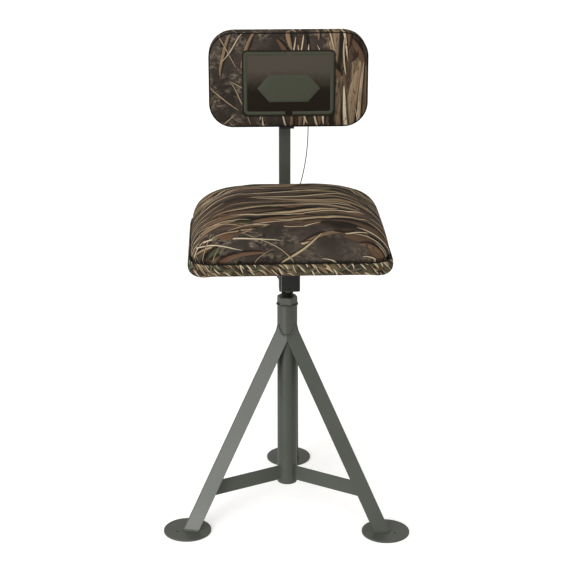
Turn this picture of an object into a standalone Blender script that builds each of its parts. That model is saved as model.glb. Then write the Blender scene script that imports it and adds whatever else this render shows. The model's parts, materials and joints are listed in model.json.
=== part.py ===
"""Swivel stool on a welded steel tripod, with a padded seat and a padded backrest.

Metres, +Z up. The origin is on the ground, at the middle of the whole stool's footprint box.
The tripod stands square to the axes, with one leg straight back along +Y. The seat, and all
that turns with it, is built square in a frame of its own, which is turned a little about the
column's axis.
"""

import math

import bmesh
import bpy
from mathutils import Matrix, Vector

# Clearance between neighbouring pieces.
GAP = 0.0003

# Tripod: round column, three angle-section legs, three flat braces and three foot discs.
COLUMN_R = 0.0212
COLUMN_WALL = 0.0026
COLUMN_LOW = 0.0605
COLUMN_TOP = 0.472
LEG_AZIMUTHS = {"left": math.radians(210), "right": math.radians(330), "back": math.radians(90)}
LEG_WIDTH = 0.032
LEG_THICK = 0.003
LEG_HEEL_R = 0.003
LEG_FOOT_RADIUS = 0.2545
LEG_TOP_Z = 0.4297
FOOT_RADIUS = 0.243
FOOT_R = 0.0505
FOOT_T = 0.004
FOOT_EDGE = 0.0006
STAKE_HOLE_R = 0.0033
STAKE_HOLE_OUT = 0.023
BRACE_LOW = 0.068
BRACE_HEIGHT = 0.032
BRACE_THICK = 0.004

# Hexagonal nut on the column, and the threaded stem that stands in it.
NUT_CORNER_R = 0.02165
NUT_HEIGHT = 0.017
NUT_TURN = math.radians(-70)
NUT_CHAMFER = 0.0016
STEM_R = 0.0127
STEM_LOW = 0.360
STEM_SHOULDER = 0.5024
JOURNAL_R = 0.0095
JOURNAL_TOP = 0.560
BOLT_R = 0.005
BOLT_DEPTH = 0.025
END_BOLT_HEAD = (0.0095, 0.0065)
END_WASHER_R = 0.0143
END_WASHER_T = 0.0025
THRUST_WASHER_R = 0.0170

# Seat frame: turned about the column's axis, and the sideways offsets of what it carries.
SEAT_YAW = math.radians(3.0)
SEAT_X = 0.0016
HOUSING_X = 0.0043
POST_X = 0.0027
PAD_X = 0.0082

# Swivel housing under the seat.
HOUSING_HALF = 0.022
HOUSING_CORNER = 0.007
HOUSING_WALL = 0.003
HOUSING_LOW = 0.505
HOUSING_TOP = 0.588
HOUSING_INNER_CORNER = 0.004
BUSHES = {"lower_bush": (0.506, 0.530), "upper_bush": (0.541, 0.5595)}
SET_SCREW_Z = 0.5125
SET_SCREW_R = 0.0019
SET_SCREW_SUNK = 0.0005
GUSSET_LOW = 0.525
GUSSET_OUT = 0.034
GUSSET_T = 0.004

# Seat: plate, board, band, foam and cover.
PLATE_HALF = (0.100, 0.080)
PLATE_T = 0.004
PLATE_CORNER = 0.012
SEAT_HALF = (0.205, 0.176)
SEAT_CORNER = 0.048
BAND_LOW = 0.592
BAND_TOP = 0.617
BAND_T = 0.0035
BOARD_INSET = 0.006
BOARD_T = 0.0124
CUSHION_RISE = 0.087
CUSHION_SHOULDER = (0.090, 0.074)
SHOULDER_CORNER_GROWTH = 0.012
COVER_T = 0.0022
SEAT_BOLTS_AT = ((-0.080, -0.060), (0.080, -0.060), (-0.080, 0.060), (0.080, 0.060))
SEAT_BOLT_R = 0.003
SEAT_BOLT_LENGTH = 0.0145
SEAT_BOLT_HEAD = (0.0058, 0.004)

# Back post, its receiver behind the seat and the clamp.
POST_Y = 0.218
POST_HALF = 0.0125
POST_WALL = 0.002
POST_LOW = 0.540
POST_TOP = 0.880
RECEIVER_HALF = 0.016
RECEIVER_LOW = 0.565
RECEIVER_TOP = 0.640
RECEIVER_PLAY = 0.0005
ARM_HALF = 0.020
ARM_T = 0.006
ARM_FRONT = 0.030
CLAMP_Z = 0.602
CLAMP_R = 0.004
CLAMP_NUT_R = 0.0078
CLAMP_NUT_T = 0.0075
CLAMP_KNOB_GAP = 0.004
CLAMP_KNOB_R = 0.0195
PLUG_T = 0.003

# Backrest, its pivot and its board.
PIVOT_Z = 0.868
PIVOT_R = 0.004
PAD_HALF = (0.1675, 0.1015)
PAD_Z = 0.9155
PAD_CORNER = 0.052
PAD_FRONT = 0.140
PAD_REAR = 0.1915
PAD_BOARD_T = 0.008
HINGE_PLATE_T = 0.0025
BRACKET_LOW = 0.800
CHEEK_LOW = 0.822
BRACKET_TOP = 0.8795
CHEEK_T = 0.0025
CHEEK_GAP = 0.0007
BADGE_HALF = (0.0978, 0.0701)
BADGE_DROP = 0.0040
BADGE_T = 0.003
BACK_SCREW_R = 0.0022
BACK_SCREWS_AT = ((-0.038, -0.027), (-0.038, 0.027), (0.038, -0.027), (0.038, 0.027))
PIVOT_HEX_R = 0.0075
PIVOT_HEAD_H = 0.0053
PIVOT_NUT_T = 0.0075
PIVOT_WASHER_R = 0.0085
PIVOT_WASHER_T = 0.0016

# Tether: a thin coated cable from a tab on top of the post to a lug on the receiver.
TETHER_R = 0.0011
TETHER_EYE_R = 0.0026
TETHER_TAB_REACH = 0.048
TETHER_TAB_T = 0.003
TETHER_LUG_REACH = 0.014
TETHER_LUG_T = 0.003
TETHER_ROUTE = (
    (0.0510, 0.8705), (0.0521, 0.850), (0.0533, 0.826), (0.0536, 0.800), (0.0528, 0.770),
    (0.0504, 0.740), (0.0464, 0.712), (0.0411, 0.686), (0.0355, 0.664), (0.0330, 0.6545),
)


def seat_reach():
    """How far the turned seat's outline reaches towards the front from the column's axis."""
    straight_x = SEAT_HALF[0] - SEAT_CORNER
    straight_y = SEAT_HALF[1] - SEAT_CORNER
    return straight_x * math.sin(SEAT_YAW) + straight_y * math.cos(SEAT_YAW) + SEAT_CORNER


# The back foot reaches furthest back and the seat furthest forward, so this centres the box.
COLUMN_Y = (seat_reach() + SEAT_X * math.sin(-SEAT_YAW) - FOOT_RADIUS - FOOT_R) / 2

# Colours (linear), roughness and metallic of each finish.
FINISHES = {
    "powder_coat": ((0.105, 0.113, 0.092), 0.50, 0.30),
    "black_paint": ((0.012, 0.012, 0.011), 0.30, 0.20),
    "zinc": ((0.45, 0.45, 0.43), 0.35, 1.0),
    "dark_steel": ((0.040, 0.039, 0.036), 0.40, 0.8),
    "nylon": ((0.60, 0.58, 0.52), 0.50, 0.0),
    "black_plastic": ((0.015, 0.015, 0.015), 0.45, 0.0),
    "camo_cloth": ((0.085, 0.062, 0.044), 0.85, 0.0),
    "camo_band": ((0.090, 0.085, 0.050), 0.85, 0.0),
    "foam": ((0.55, 0.50, 0.35), 0.95, 0.0),
    "plywood": ((0.40, 0.26, 0.13), 0.70, 0.0),
    "badge": ((0.045, 0.045, 0.030), 0.75, 0.0),
    "cable": ((0.16, 0.16, 0.15), 0.45, 0.0),
}


def material(name):
    """The finish of this name, made once."""
    found = bpy.data.materials.get(name)
    if found:
        return found
    colour, roughness, metallic = FINISHES[name]
    made = bpy.data.materials.new(name)
    made.use_nodes = True
    shader = made.node_tree.nodes["Principled BSDF"]
    shader.inputs["Base Color"].default_value = (*colour, 1.0)
    shader.inputs["Roughness"].default_value = roughness
    shader.inputs["Metallic"].default_value = metallic
    made.diffuse_color = (*colour, 1.0)
    return made


def frame(name, parent=None, location=(0, 0, 0), turn_z=0.0):
    """An empty that other objects are placed in."""
    empty = bpy.data.objects.new(name, None)
    bpy.context.collection.objects.link(empty)
    empty.parent = parent
    empty.location = location
    empty.rotation_euler = (0, 0, turn_z)
    return empty


def place(name, bm, finish, parent, location=(0, 0, 0)):
    """Turn a bmesh into a named object in a frame, shaded smooth with its corners kept sharp."""
    bmesh.ops.recalc_face_normals(bm, faces=bm.faces)
    mesh = bpy.data.meshes.new(name)
    bm.to_mesh(mesh)
    bm.free()
    mesh.shade_smooth()
    mesh.set_sharp_from_angle(angle=math.radians(35))
    piece = bpy.data.objects.new(name, mesh)
    bpy.context.collection.objects.link(piece)
    piece.parent = parent
    piece.location = location
    mesh.materials.append(material(finish))
    return piece


def cut(piece, cutters, operation="DIFFERENCE"):
    """Cut a piece with a cutter mesh, which stays in the scene as a hidden wire guide."""
    name = f"cutter_{piece.name}_{len(piece.modifiers)}"
    cutter = place(name, cutters, "zinc", piece.parent, piece.location)
    cutter.hide_render = True
    cutter.display_type = "WIRE"
    modifier = piece.modifiers.new(name, "BOOLEAN")
    modifier.operation = operation
    modifier.solver = "EXACT"
    modifier.object = cutter


def loft(rings, ring_shaped=False):
    """Skin equal rings of points into a solid, capped at both ends unless it closes on itself."""
    bm = bmesh.new()
    loops = [[bm.verts.new(point) for point in ring] for ring in rings]
    pairs = list(zip(loops, loops[1:]))
    if ring_shaped:
        pairs.append((loops[-1], loops[0]))
    else:
        bm.faces.new(list(reversed(loops[0])))
        bm.faces.new(loops[-1])
    for low, high in pairs:
        for index in range(len(low)):
            after = (index + 1) % len(low)
            bm.faces.new((low[index], low[after], high[after], high[index]))
    return bm


def merge(*meshes):
    """Put several separate meshes into one, for a cutter."""
    whole = bmesh.new()
    for part in meshes:
        part_mesh = bpy.data.meshes.new("part")
        bmesh.ops.recalc_face_normals(part, faces=part.faces)
        part.to_mesh(part_mesh)
        part.free()
        whole.from_mesh(part_mesh)
        bpy.data.meshes.remove(part_mesh)
    return whole


def circle(radius, z=0.0, count=24):
    """Even points round the Z axis at one height."""
    angles = [2 * math.pi * step / count for step in range(count)]
    return [Vector((radius * math.cos(a), radius * math.sin(a), z)) for a in angles]


def hexagon(corner_r, z=0.0, count=12):
    """A hexagon with a point at each corner and at the middle of each side."""
    points = []
    for step in range(count):
        angle = 2 * math.pi * step / count
        off_corner = (angle % math.radians(60)) - math.radians(30)
        radius = corner_r * math.cos(math.radians(30)) / math.cos(off_corner)
        points.append(Vector((radius * math.cos(angle), radius * math.sin(angle), z)))
    return points


def rounded_rectangle(half_x, half_y, corner, z=0.0, centre=(0.0, 0.0), steps=6):
    """A rectangle with round corners, given as half its sides, flat at one height."""
    points = []
    for quarter, (side_x, side_y) in enumerate(((1, 1), (-1, 1), (-1, -1), (1, -1))):
        for step in range(steps + 1):
            angle = math.radians(90) * (quarter + step / steps)
            x = centre[0] + side_x * (half_x - corner) + corner * math.cos(angle)
            y = centre[1] + side_y * (half_y - corner) + corner * math.sin(angle)
            points.append(Vector((x, y, z)))
    return points


def turned(profile, count=24):
    """A solid of revolution about Z from (radius, z) pairs, with flat ends."""
    return loft([circle(radius, z, count) for radius, z in profile])


def turned_ring(profile, count=24):
    """A ring about Z whose closed section is the given (radius, z) pairs."""
    return loft([circle(radius, z, count) for radius, z in profile], ring_shaped=True)


def washer(inner_r, outer_r, near, far, count=24):
    """A flat ring about Z between two heights."""
    section = [(inner_r, near), (outer_r, near), (outer_r, far), (inner_r, far)]
    return turned_ring(section, count)


def plain_hole(radius, near, far, count=12):
    """A cutter along Z for a round hole."""
    return turned([(radius, near), (radius, far)], count)


def hex_nut(corner_r, hole_r, near, far):
    """A hexagon nut about Z between two heights."""
    rings = [hexagon(corner_r, near), hexagon(corner_r, far)]
    rings += [circle(hole_r, far, 12), circle(hole_r, near, 12)]
    return loft(rings, ring_shaped=True)


def prism(outline, low, high):
    """An outline in X and Y, stood up between two heights."""
    return loft([[Vector((p[0], p[1], z)) for p in outline] for z in (low, high)])


def sleeve(outer, inner, low, high):
    """A tube between two outlines with the same number of points."""
    rings = ((outer, low), (outer, high), (inner, high), (inner, low))
    return loft([[Vector((p[0], p[1], z)) for p in ring] for ring, z in rings], ring_shaped=True)


def bore_within(outline, radius):
    """A round bore on the axis, its points even and starting by the outline's first corner."""
    count = len(outline)
    corner_steps = count // 4 - 1
    start = math.radians(45) - math.pi * corner_steps / count
    angles = [start + 2 * math.pi * step / count for step in range(count)]
    return [Vector((radius * math.cos(a), radius * math.sin(a), 0)) for a in angles]


def bolt(head_corner_r, head_height, shank_r, shank_length):
    """A hexagon bolt along Z: its shank hangs down from z = 0, and its head stands on it."""
    rings = [circle(shank_r, -shank_length, 12), circle(shank_r, 0, 12)]
    rings += [hexagon(head_corner_r, 0), hexagon(head_corner_r, head_height)]
    return loft(rings)


def aim(bm, axis):
    """Turn a mesh made along Z so that its +Z points along an axis."""
    bm.transform(Vector((0, 0, 1)).rotation_difference(Vector(axis)).to_matrix().to_4x4())
    return bm


def shift(bm, x=0.0, y=0.0, z=0.0):
    """Move a mesh and hand it back."""
    bm.transform(Matrix.Translation((x, y, z)))
    return bm


def slice_off(bm, point, normal):
    """Remove all of a closed mesh that lies beyond a plane, and close the cut."""
    geometry = bm.verts[:] + bm.edges[:] + bm.faces[:]
    result = bmesh.ops.bisect_plane(bm, geom=geometry, plane_co=point, plane_no=normal, clear_outer=True)
    edges = [item for item in result["geom_cut"] if isinstance(item, bmesh.types.BMEdge)]
    bmesh.ops.edgenet_fill(bm, edges=edges)


def leg_slope():
    """The leg's lean from vertical, from its heel's foot to where its heel meets the column."""
    return math.atan2(LEG_FOOT_RADIUS - COLUMN_R, LEG_TOP_Z - FOOT_T)


def heel_radius(z):
    """The heel's distance from the column's axis at a height."""
    return LEG_FOOT_RADIUS - (z - FOOT_T) * math.tan(leg_slope())


def leg_mesh():
    """One angle-section leg, leaning in from +X, with its corner pointing outward.

    Its inner side lies against the column, and its edges are mitred where the legs meet.
    """
    half = math.sqrt(0.5)
    toe_out = LEG_WIDTH * half
    toe_in = (LEG_WIDTH - LEG_THICK) * half
    toe_depth = (LEG_WIDTH + LEG_THICK) * half
    section = [(-toe_out, toe_out), (-toe_depth, toe_in), (-LEG_THICK / half, 0)]
    section += [(-toe_depth, -toe_in), (-toe_out, -toe_out)]
    for step in range(5):
        angle = math.radians(-45 + 90 * step / 4)
        along = -LEG_HEEL_R / half + LEG_HEEL_R * math.cos(angle)
        section.append((along, LEG_HEEL_R * math.sin(angle)))
    lean = leg_slope()
    outward = Vector((math.cos(lean), 0, math.sin(lean)))
    upward = Vector((-math.sin(lean), 0, math.cos(lean)))
    foot = Vector((LEG_FOOT_RADIUS, 0, FOOT_T))
    ends = (foot - 0.06 * upward, foot + 0.56 * upward)
    bm = loft([[end + u * outward + Vector((0, v, 0)) for u, v in section] for end in ends])
    bmesh.ops.recalc_face_normals(bm, faces=bm.faces)
    slice_off(bm, (0, 0, FOOT_T + GAP), (0, 0, -1))
    for side in (1, -1):
        normal = Vector((math.cos(math.radians(150)), side * math.sin(math.radians(150)), 0))
        slice_off(bm, -GAP / 2 * normal, normal)
    return bm


def make_tripod(base):
    """The welded steel tripod: column, nut, legs, braces and foot discs."""
    inner_r = COLUMN_R - COLUMN_WALL
    column = washer(inner_r, COLUMN_R, COLUMN_LOW, COLUMN_TOP, 40)
    place("column_tube", column, "powder_coat", base)

    nut_low = COLUMN_TOP + GAP
    nut_high = nut_low + NUT_HEIGHT
    nut_mesh = prism(hexagon(NUT_CORNER_R), nut_low, nut_high)
    nut_mesh.transform(Matrix.Rotation(NUT_TURN, 4, "Z"))
    nut = place("column_nut", nut_mesh, "powder_coat", base)
    flat_r = NUT_CORNER_R * math.cos(math.radians(30)) - 0.0006
    turning = [(flat_r, nut_low - GAP), (NUT_CORNER_R + GAP, nut_low - GAP + NUT_CHAMFER)]
    turning += [(NUT_CORNER_R + GAP, nut_high - NUT_CHAMFER), (flat_r, nut_high)]
    cut(nut, turned(turning, 36), "INTERSECT")
    bore_r = STEM_R + GAP
    cut(nut, turned([(bore_r, nut_low - 0.01), (bore_r, nut_high + 0.01)], 32))

    brace_inner = COLUMN_R + GAP
    seat_in_leg = (LEG_THICK * math.sqrt(2) + BRACE_THICK / 2) / math.cos(leg_slope()) + 2 * GAP
    for side, azimuth in LEG_AZIMUTHS.items():
        turn = Matrix.Rotation(azimuth, 4, "Z")
        leg_bm = leg_mesh()
        leg_bm.transform(turn)
        leg = place(f"leg_{side}", leg_bm, "powder_coat", base)
        cope_r = COLUMN_R + GAP
        cut(leg, turned([(cope_r, 0.25), (cope_r, 0.60)], 40))

        high = BRACE_LOW + BRACE_HEIGHT
        outline = [(brace_inner, BRACE_LOW), (heel_radius(BRACE_LOW) - seat_in_leg, BRACE_LOW)]
        outline += [(heel_radius(high) - seat_in_leg, high), (brace_inner, high)]
        faces = (-BRACE_THICK / 2, BRACE_THICK / 2)
        brace_bm = loft([[Vector((r, across, z)) for r, z in outline] for across in faces])
        brace_bm.transform(turn)
        place(f"brace_{side}", brace_bm, "powder_coat", base)

        disc = [(FOOT_R - FOOT_EDGE, 0), (FOOT_R, FOOT_EDGE), (FOOT_R, FOOT_T - FOOT_EDGE)]
        disc.append((FOOT_R - FOOT_EDGE, FOOT_T))
        centre = (FOOT_RADIUS * math.cos(azimuth), FOOT_RADIUS * math.sin(azimuth), 0)
        foot = place(f"foot_{side}", turned(disc, 48), "powder_coat", base, centre)
        hole = turned([(STAKE_HOLE_R, -0.01), (STAKE_HOLE_R, 0.01)], 16)
        out = STAKE_HOLE_OUT
        cut(foot, shift(hole, out * math.cos(azimuth), out * math.sin(azimuth)))


def make_stem(base):
    """The threaded stem in the column's nut, with the journal that the seat turns on."""
    hole_r = BOLT_R + GAP
    profile = [(hole_r, JOURNAL_TOP - BOLT_DEPTH), (hole_r, JOURNAL_TOP), (JOURNAL_R, JOURNAL_TOP)]
    profile += [(JOURNAL_R, STEM_SHOULDER), (STEM_R, STEM_SHOULDER), (STEM_R, STEM_LOW)]
    profile += [(hole_r, STEM_LOW), (hole_r, STEM_LOW + BOLT_DEPTH)]
    place("threaded_stem", turned(profile, 32), "dark_steel", base)

    near = STEM_SHOULDER + GAP
    thrust = washer(JOURNAL_R + GAP, THRUST_WASHER_R, near, HOUSING_LOW - GAP)
    place("thrust_washer", thrust, "zinc", base)

    for name, face, outward in (("swivel", JOURNAL_TOP, 1), ("stop", STEM_LOW, -1)):
        near = face + outward * GAP
        far = near + outward * END_WASHER_T
        place(f"{name}_washer", washer(hole_r, END_WASHER_R, near, far), "zinc", base)
        bolt_bm = aim(bolt(*END_BOLT_HEAD, BOLT_R, BOLT_DEPTH), (0, 0, outward))
        place(f"{name}_bolt", bolt_bm, "zinc", base, (0, 0, far + outward * GAP))


def make_swivel_housing(seat):
    """The square housing that turns on the stem, its two bushes, and what joins it to the seat."""
    centre = (HOUSING_X, 0)
    outer = rounded_rectangle(HOUSING_HALF, HOUSING_HALF, HOUSING_CORNER, centre=centre)
    inside = HOUSING_HALF - HOUSING_WALL
    inner = rounded_rectangle(inside, inside, HOUSING_INNER_CORNER, centre=centre)
    housing_bm = sleeve(outer, inner, HOUSING_LOW, HOUSING_TOP)
    housing = place("swivel_housing", housing_bm, "black_paint", seat)
    screw_hole = aim(plain_hole(SET_SCREW_R + GAP, -0.01, 0.01), (0, -1, 0))
    cut(housing, shift(screw_hole, HOUSING_X, -HOUSING_HALF, SET_SCREW_Z))

    plug_half = inside - GAP
    plug = rounded_rectangle(plug_half, plug_half, HOUSING_INNER_CORNER - GAP, centre=centre)
    bore = bore_within(plug, JOURNAL_R + 2 * GAP)
    for name, (low, high) in BUSHES.items():
        place(name, sleeve(plug, bore, low, high), "nylon", seat)

    screw_length = HOUSING_WALL - SET_SCREW_SUNK - GAP
    screw = aim(plain_hole(SET_SCREW_R, 0, screw_length), (0, 1, 0))
    screw_at = (HOUSING_X, -HOUSING_HALF + SET_SCREW_SUNK, SET_SCREW_Z)
    place("bush_set_screw", screw, "dark_steel", seat, screw_at)

    wall_x = HOUSING_X - HOUSING_HALF - GAP
    top = HOUSING_TOP - GAP
    triangle = ((wall_x, GUSSET_LOW), (wall_x, top), (wall_x - GUSSET_OUT, top))
    faces = (-GUSSET_T / 2, GUSSET_T / 2)
    gusset = loft([[Vector((x, y, z)) for x, z in triangle] for y in faces])
    place("side_gusset", gusset, "black_paint", seat)


def seat_board_low():
    """Height of the seat board's underside."""
    return HOUSING_TOP + GAP + PLATE_T + GAP


def cushion_rings(inset, low, base_z, rise):
    """Rings of a loaf: straight sides up to base_z, then a round shoulder to a flat top."""
    half_x = SEAT_HALF[0] - inset
    half_y = SEAT_HALF[1] - inset
    centre = (SEAT_X, 0)
    corner = SEAT_CORNER - inset
    rings = [rounded_rectangle(half_x, half_y, corner, low, centre)]
    shoulder_steps = 7
    for step in range(shoulder_steps + 1):
        angle = math.radians(90) * step / shoulder_steps
        pulled = 1 - math.cos(angle)
        x = half_x - (CUSHION_SHOULDER[0] - inset) * pulled
        y = half_y - (CUSHION_SHOULDER[1] - inset) * pulled
        z = base_z + rise * math.sin(angle)
        rings.append(rounded_rectangle(x, y, corner + SHOULDER_CORNER_GROWTH * pulled, z, centre))
    return rings


def make_seat_base(seat):
    """The seat's plate, bolts and board."""
    plate_low = HOUSING_TOP + GAP
    board_low = seat_board_low()
    holes = []
    for index, (x, y) in enumerate(SEAT_BOLTS_AT, start=1):
        bolt_bm = aim(bolt(*SEAT_BOLT_HEAD, SEAT_BOLT_R, SEAT_BOLT_LENGTH), (0, 0, -1))
        place(f"seat_bolt_{index}", bolt_bm, "zinc", seat, (SEAT_X + x, y, plate_low - GAP))
        hole_top = plate_low + SEAT_BOLT_LENGTH + GAP
        hole = plain_hole(SEAT_BOLT_R + GAP, plate_low - 0.005, hole_top, 16)
        holes.append(shift(hole, SEAT_X + x, y))
    hole_mesh = merge(*holes)

    outline = rounded_rectangle(*PLATE_HALF, PLATE_CORNER, centre=(SEAT_X, 0))
    plate_bm = prism(outline, plate_low, plate_low + PLATE_T)
    plate = place("seat_plate", plate_bm, "black_paint", seat)
    half_x = SEAT_HALF[0] - BOARD_INSET
    half_y = SEAT_HALF[1] - BOARD_INSET
    outline = rounded_rectangle(half_x, half_y, SEAT_CORNER - BOARD_INSET, centre=(SEAT_X, 0))
    board = place("seat_board", prism(outline, board_low, board_low + BOARD_T), "plywood", seat)
    cut(plate, hole_mesh.copy())
    cut(board, hole_mesh)


def make_seat_padding(seat):
    """The seat's band, foam and cover."""
    outer = rounded_rectangle(*SEAT_HALF, SEAT_CORNER, centre=(SEAT_X, 0))
    inside = (SEAT_HALF[0] - BAND_T, SEAT_HALF[1] - BAND_T)
    inner = rounded_rectangle(*inside, SEAT_CORNER - BAND_T, centre=(SEAT_X, 0))
    place("seat_band", sleeve(outer, inner, BAND_LOW, BAND_TOP), "camo_band", seat)

    foam_low = seat_board_low() + BOARD_T + GAP
    foam_inset = BOARD_INSET
    foam_rise = CUSHION_RISE - COVER_T - GAP
    cover_low = BAND_TOP + GAP
    foam_rings = cushion_rings(foam_inset, foam_low, cover_low, foam_rise)
    place("seat_foam", loft(foam_rings), "foam", seat)

    hem = 0.001
    inner_inset = foam_inset - GAP
    base_z = cover_low + hem
    outer_rings = cushion_rings(inner_inset - COVER_T, cover_low, base_z, CUSHION_RISE - hem)
    inner_rings = cushion_rings(inner_inset, cover_low, base_z, CUSHION_RISE - COVER_T - hem)
    place("seat_cover", shell(outer_rings, inner_rings), "camo_cloth", seat)


def shell(outer_rings, inner_rings):
    """A cover open at its first ring: an outer and an inner skin, joined round the opening."""
    return loft(list(reversed(outer_rings)) + inner_rings)


def half_round(centre_x, centre_y, radius, steps=8):
    """Points of a half circle that bulges towards +X, without its two ends."""
    points = []
    for step in range(1, steps):
        angle = math.radians(-90 + 180 * step / steps)
        points.append((centre_x + radius * math.cos(angle), centre_y + radius * math.sin(angle)))
    return points


def make_post_receiver(seat):
    """The arm under the seat, and the square receiver at its end with the clamp's nut."""
    left, right = POST_X - ARM_HALF, POST_X + ARM_HALF
    arm_end = POST_Y - RECEIVER_HALF - GAP
    outline = [(left, ARM_FRONT), (right, ARM_FRONT), (right, arm_end), (left, arm_end)]
    place("back_arm", prism(outline, HOUSING_TOP - ARM_T, HOUSING_TOP), "black_paint", seat)

    centre = (POST_X, POST_Y)
    outer = rounded_rectangle(RECEIVER_HALF, RECEIVER_HALF, 0.003, centre=centre, steps=3)
    bore_half = POST_HALF + RECEIVER_PLAY
    inner = rounded_rectangle(bore_half, bore_half, 0.0015, centre=centre, steps=3)
    tube = sleeve(outer, inner, RECEIVER_LOW, RECEIVER_TOP)
    receiver = place("post_receiver", tube, "black_paint", seat)
    rear = POST_Y + RECEIVER_HALF
    hole = aim(plain_hole(CLAMP_R + RECEIVER_PLAY, -0.006, 0.006, 16), (0, 1, 0))
    cut(receiver, shift(hole, POST_X, rear, CLAMP_Z))

    nut_bm = aim(hex_nut(CLAMP_NUT_R, CLAMP_R + GAP, 0, CLAMP_NUT_T), (0, 1, 0))
    place("clamp_nut", nut_bm, "zinc", seat, (POST_X, rear + GAP, CLAMP_Z))


def make_tether_lug(seat):
    """The lug on the receiver's side that the tether's lower end hooks into."""
    root_x = POST_X + RECEIVER_HALF + GAP
    eye_x = root_x + TETHER_LUG_REACH
    eye_z = RECEIVER_TOP - 0.010
    root_half = 0.009
    tip_r = 0.006
    lug = [(root_x, eye_z - root_half), (eye_x, eye_z - tip_r)]
    lug += half_round(eye_x, eye_z, tip_r)
    lug += [(eye_x, eye_z + tip_r), (root_x, eye_z + root_half)]
    faces = (POST_Y - TETHER_LUG_T / 2, POST_Y + TETHER_LUG_T / 2)
    lug_bm = loft([[Vector((x, y, z)) for x, z in lug] for y in faces])
    tether_lug = place("tether_lug", lug_bm, "black_paint", seat)
    eye = aim(plain_hole(TETHER_EYE_R, -0.01, 0.01), (0, 1, 0))
    cut(tether_lug, shift(eye, eye_x, POST_Y, eye_z))


def lobed(radius, z, count=40, lobes=5):
    """A ring of points about Z with shallow lobes, for a knob."""
    points = []
    for step in range(count):
        angle = 2 * math.pi * step / count
        reach = radius * (1 + 0.12 * math.cos(lobes * angle))
        points.append(Vector((reach * math.cos(angle), reach * math.sin(angle), z)))
    return points


def make_clamp(seat):
    """The screw and its knob that hold the post in its receiver; they turn about Y."""
    axis = frame("clamp_axis", seat, (POST_X, POST_Y, CLAMP_Z))
    tip = POST_HALF + RECEIVER_PLAY
    knob_near = RECEIVER_HALF + GAP + CLAMP_NUT_T + CLAMP_KNOB_GAP
    end = knob_near + 0.014
    screw = turned([(CLAMP_R - 0.001, tip), (CLAMP_R, tip + 0.001), (CLAMP_R, end)], 16)
    place("clamp_screw", aim(screw, (0, 1, 0)), "zinc", axis)

    bore_r = CLAMP_R + GAP
    rings = [circle(bore_r, end + GAP, 40), circle(bore_r, knob_near, 40)]
    rings += [circle(0.009, knob_near, 40), circle(0.010, knob_near + 0.005, 40)]
    rings += [lobed(CLAMP_KNOB_R - 0.001, knob_near + 0.007), lobed(CLAMP_KNOB_R, knob_near + 0.011)]
    rings += [lobed(CLAMP_KNOB_R - 0.001, knob_near + 0.016), lobed(0.0130, knob_near + 0.0185)]
    place("clamp_knob", aim(loft(rings), (0, 1, 0)), "black_plastic", axis)


def make_post(seat):
    """The square back post, with a plug in each end."""
    centre = (POST_X, POST_Y)
    outer = rounded_rectangle(POST_HALF, POST_HALF, 0.0025, centre=centre, steps=3)
    inside = POST_HALF - POST_WALL
    inner = rounded_rectangle(inside, inside, 0.001, centre=centre, steps=3)
    post = place("back_post", sleeve(outer, inner, POST_LOW, POST_TOP), "powder_coat", seat)
    pivot_hole = aim(plain_hole(PIVOT_R + GAP, -0.02, 0.02, 16), (1, 0, 0))
    cut(post, shift(pivot_hole, POST_X, POST_Y, PIVOT_Z))

    spigot = rounded_rectangle(inside - GAP, inside - GAP, 0.0008, centre=centre, steps=3)
    plug_ends = (("post_top_plug", POST_TOP, 1, 0.006), ("post_foot_plug", POST_LOW, -1, 0.012))
    plugs = {}
    for name, face, outward, depth in plug_ends:
        near = face + outward * GAP
        steps = [(spigot, face - outward * depth), (spigot, near)]
        steps += [(outer, near), (outer, near + outward * PLUG_T)]
        plug_bm = loft([[Vector((p.x, p.y, z)) for p in ring] for ring, z in steps])
        plugs[name] = place(name, plug_bm, "black_plastic", seat)
    screw_hole = plain_hole(BACK_SCREW_R + GAP, POST_TOP - 0.004, POST_TOP + 0.01)
    cut(plugs["post_top_plug"], shift(screw_hole, POST_X, POST_Y))


def make_tether_tab(seat):
    """The tab screwed to the top of the post, which the tether's upper end hooks into."""
    low = POST_TOP + GAP + PLUG_T + GAP
    high = low + TETHER_TAB_T
    half_y = 0.008
    left = POST_X - POST_HALF
    eye_x = POST_X + TETHER_TAB_REACH
    tab = [(left, POST_Y - half_y), (eye_x, POST_Y - half_y)]
    tab += half_round(eye_x, POST_Y, half_y)
    tab += [(eye_x, POST_Y + half_y), (left, POST_Y + half_y)]
    tether_tab = place("tether_tab", prism(tab, low, high), "black_paint", seat)
    screw_hole = plain_hole(BACK_SCREW_R + GAP, low - 0.01, high + 0.01)
    eye = plain_hole(TETHER_EYE_R, low - 0.01, high + 0.01)
    cut(tether_tab, merge(shift(screw_hole, POST_X, POST_Y), shift(eye, eye_x, POST_Y)))
    profile = [(0.0020, -0.0065), (0.0020, 0), (0.0040, 0), (0.0036, 0.0015), (0.0020, 0.0022)]
    place("tab_screw", turned(profile, 16), "zinc", seat, (POST_X, POST_Y, high + GAP))


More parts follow.
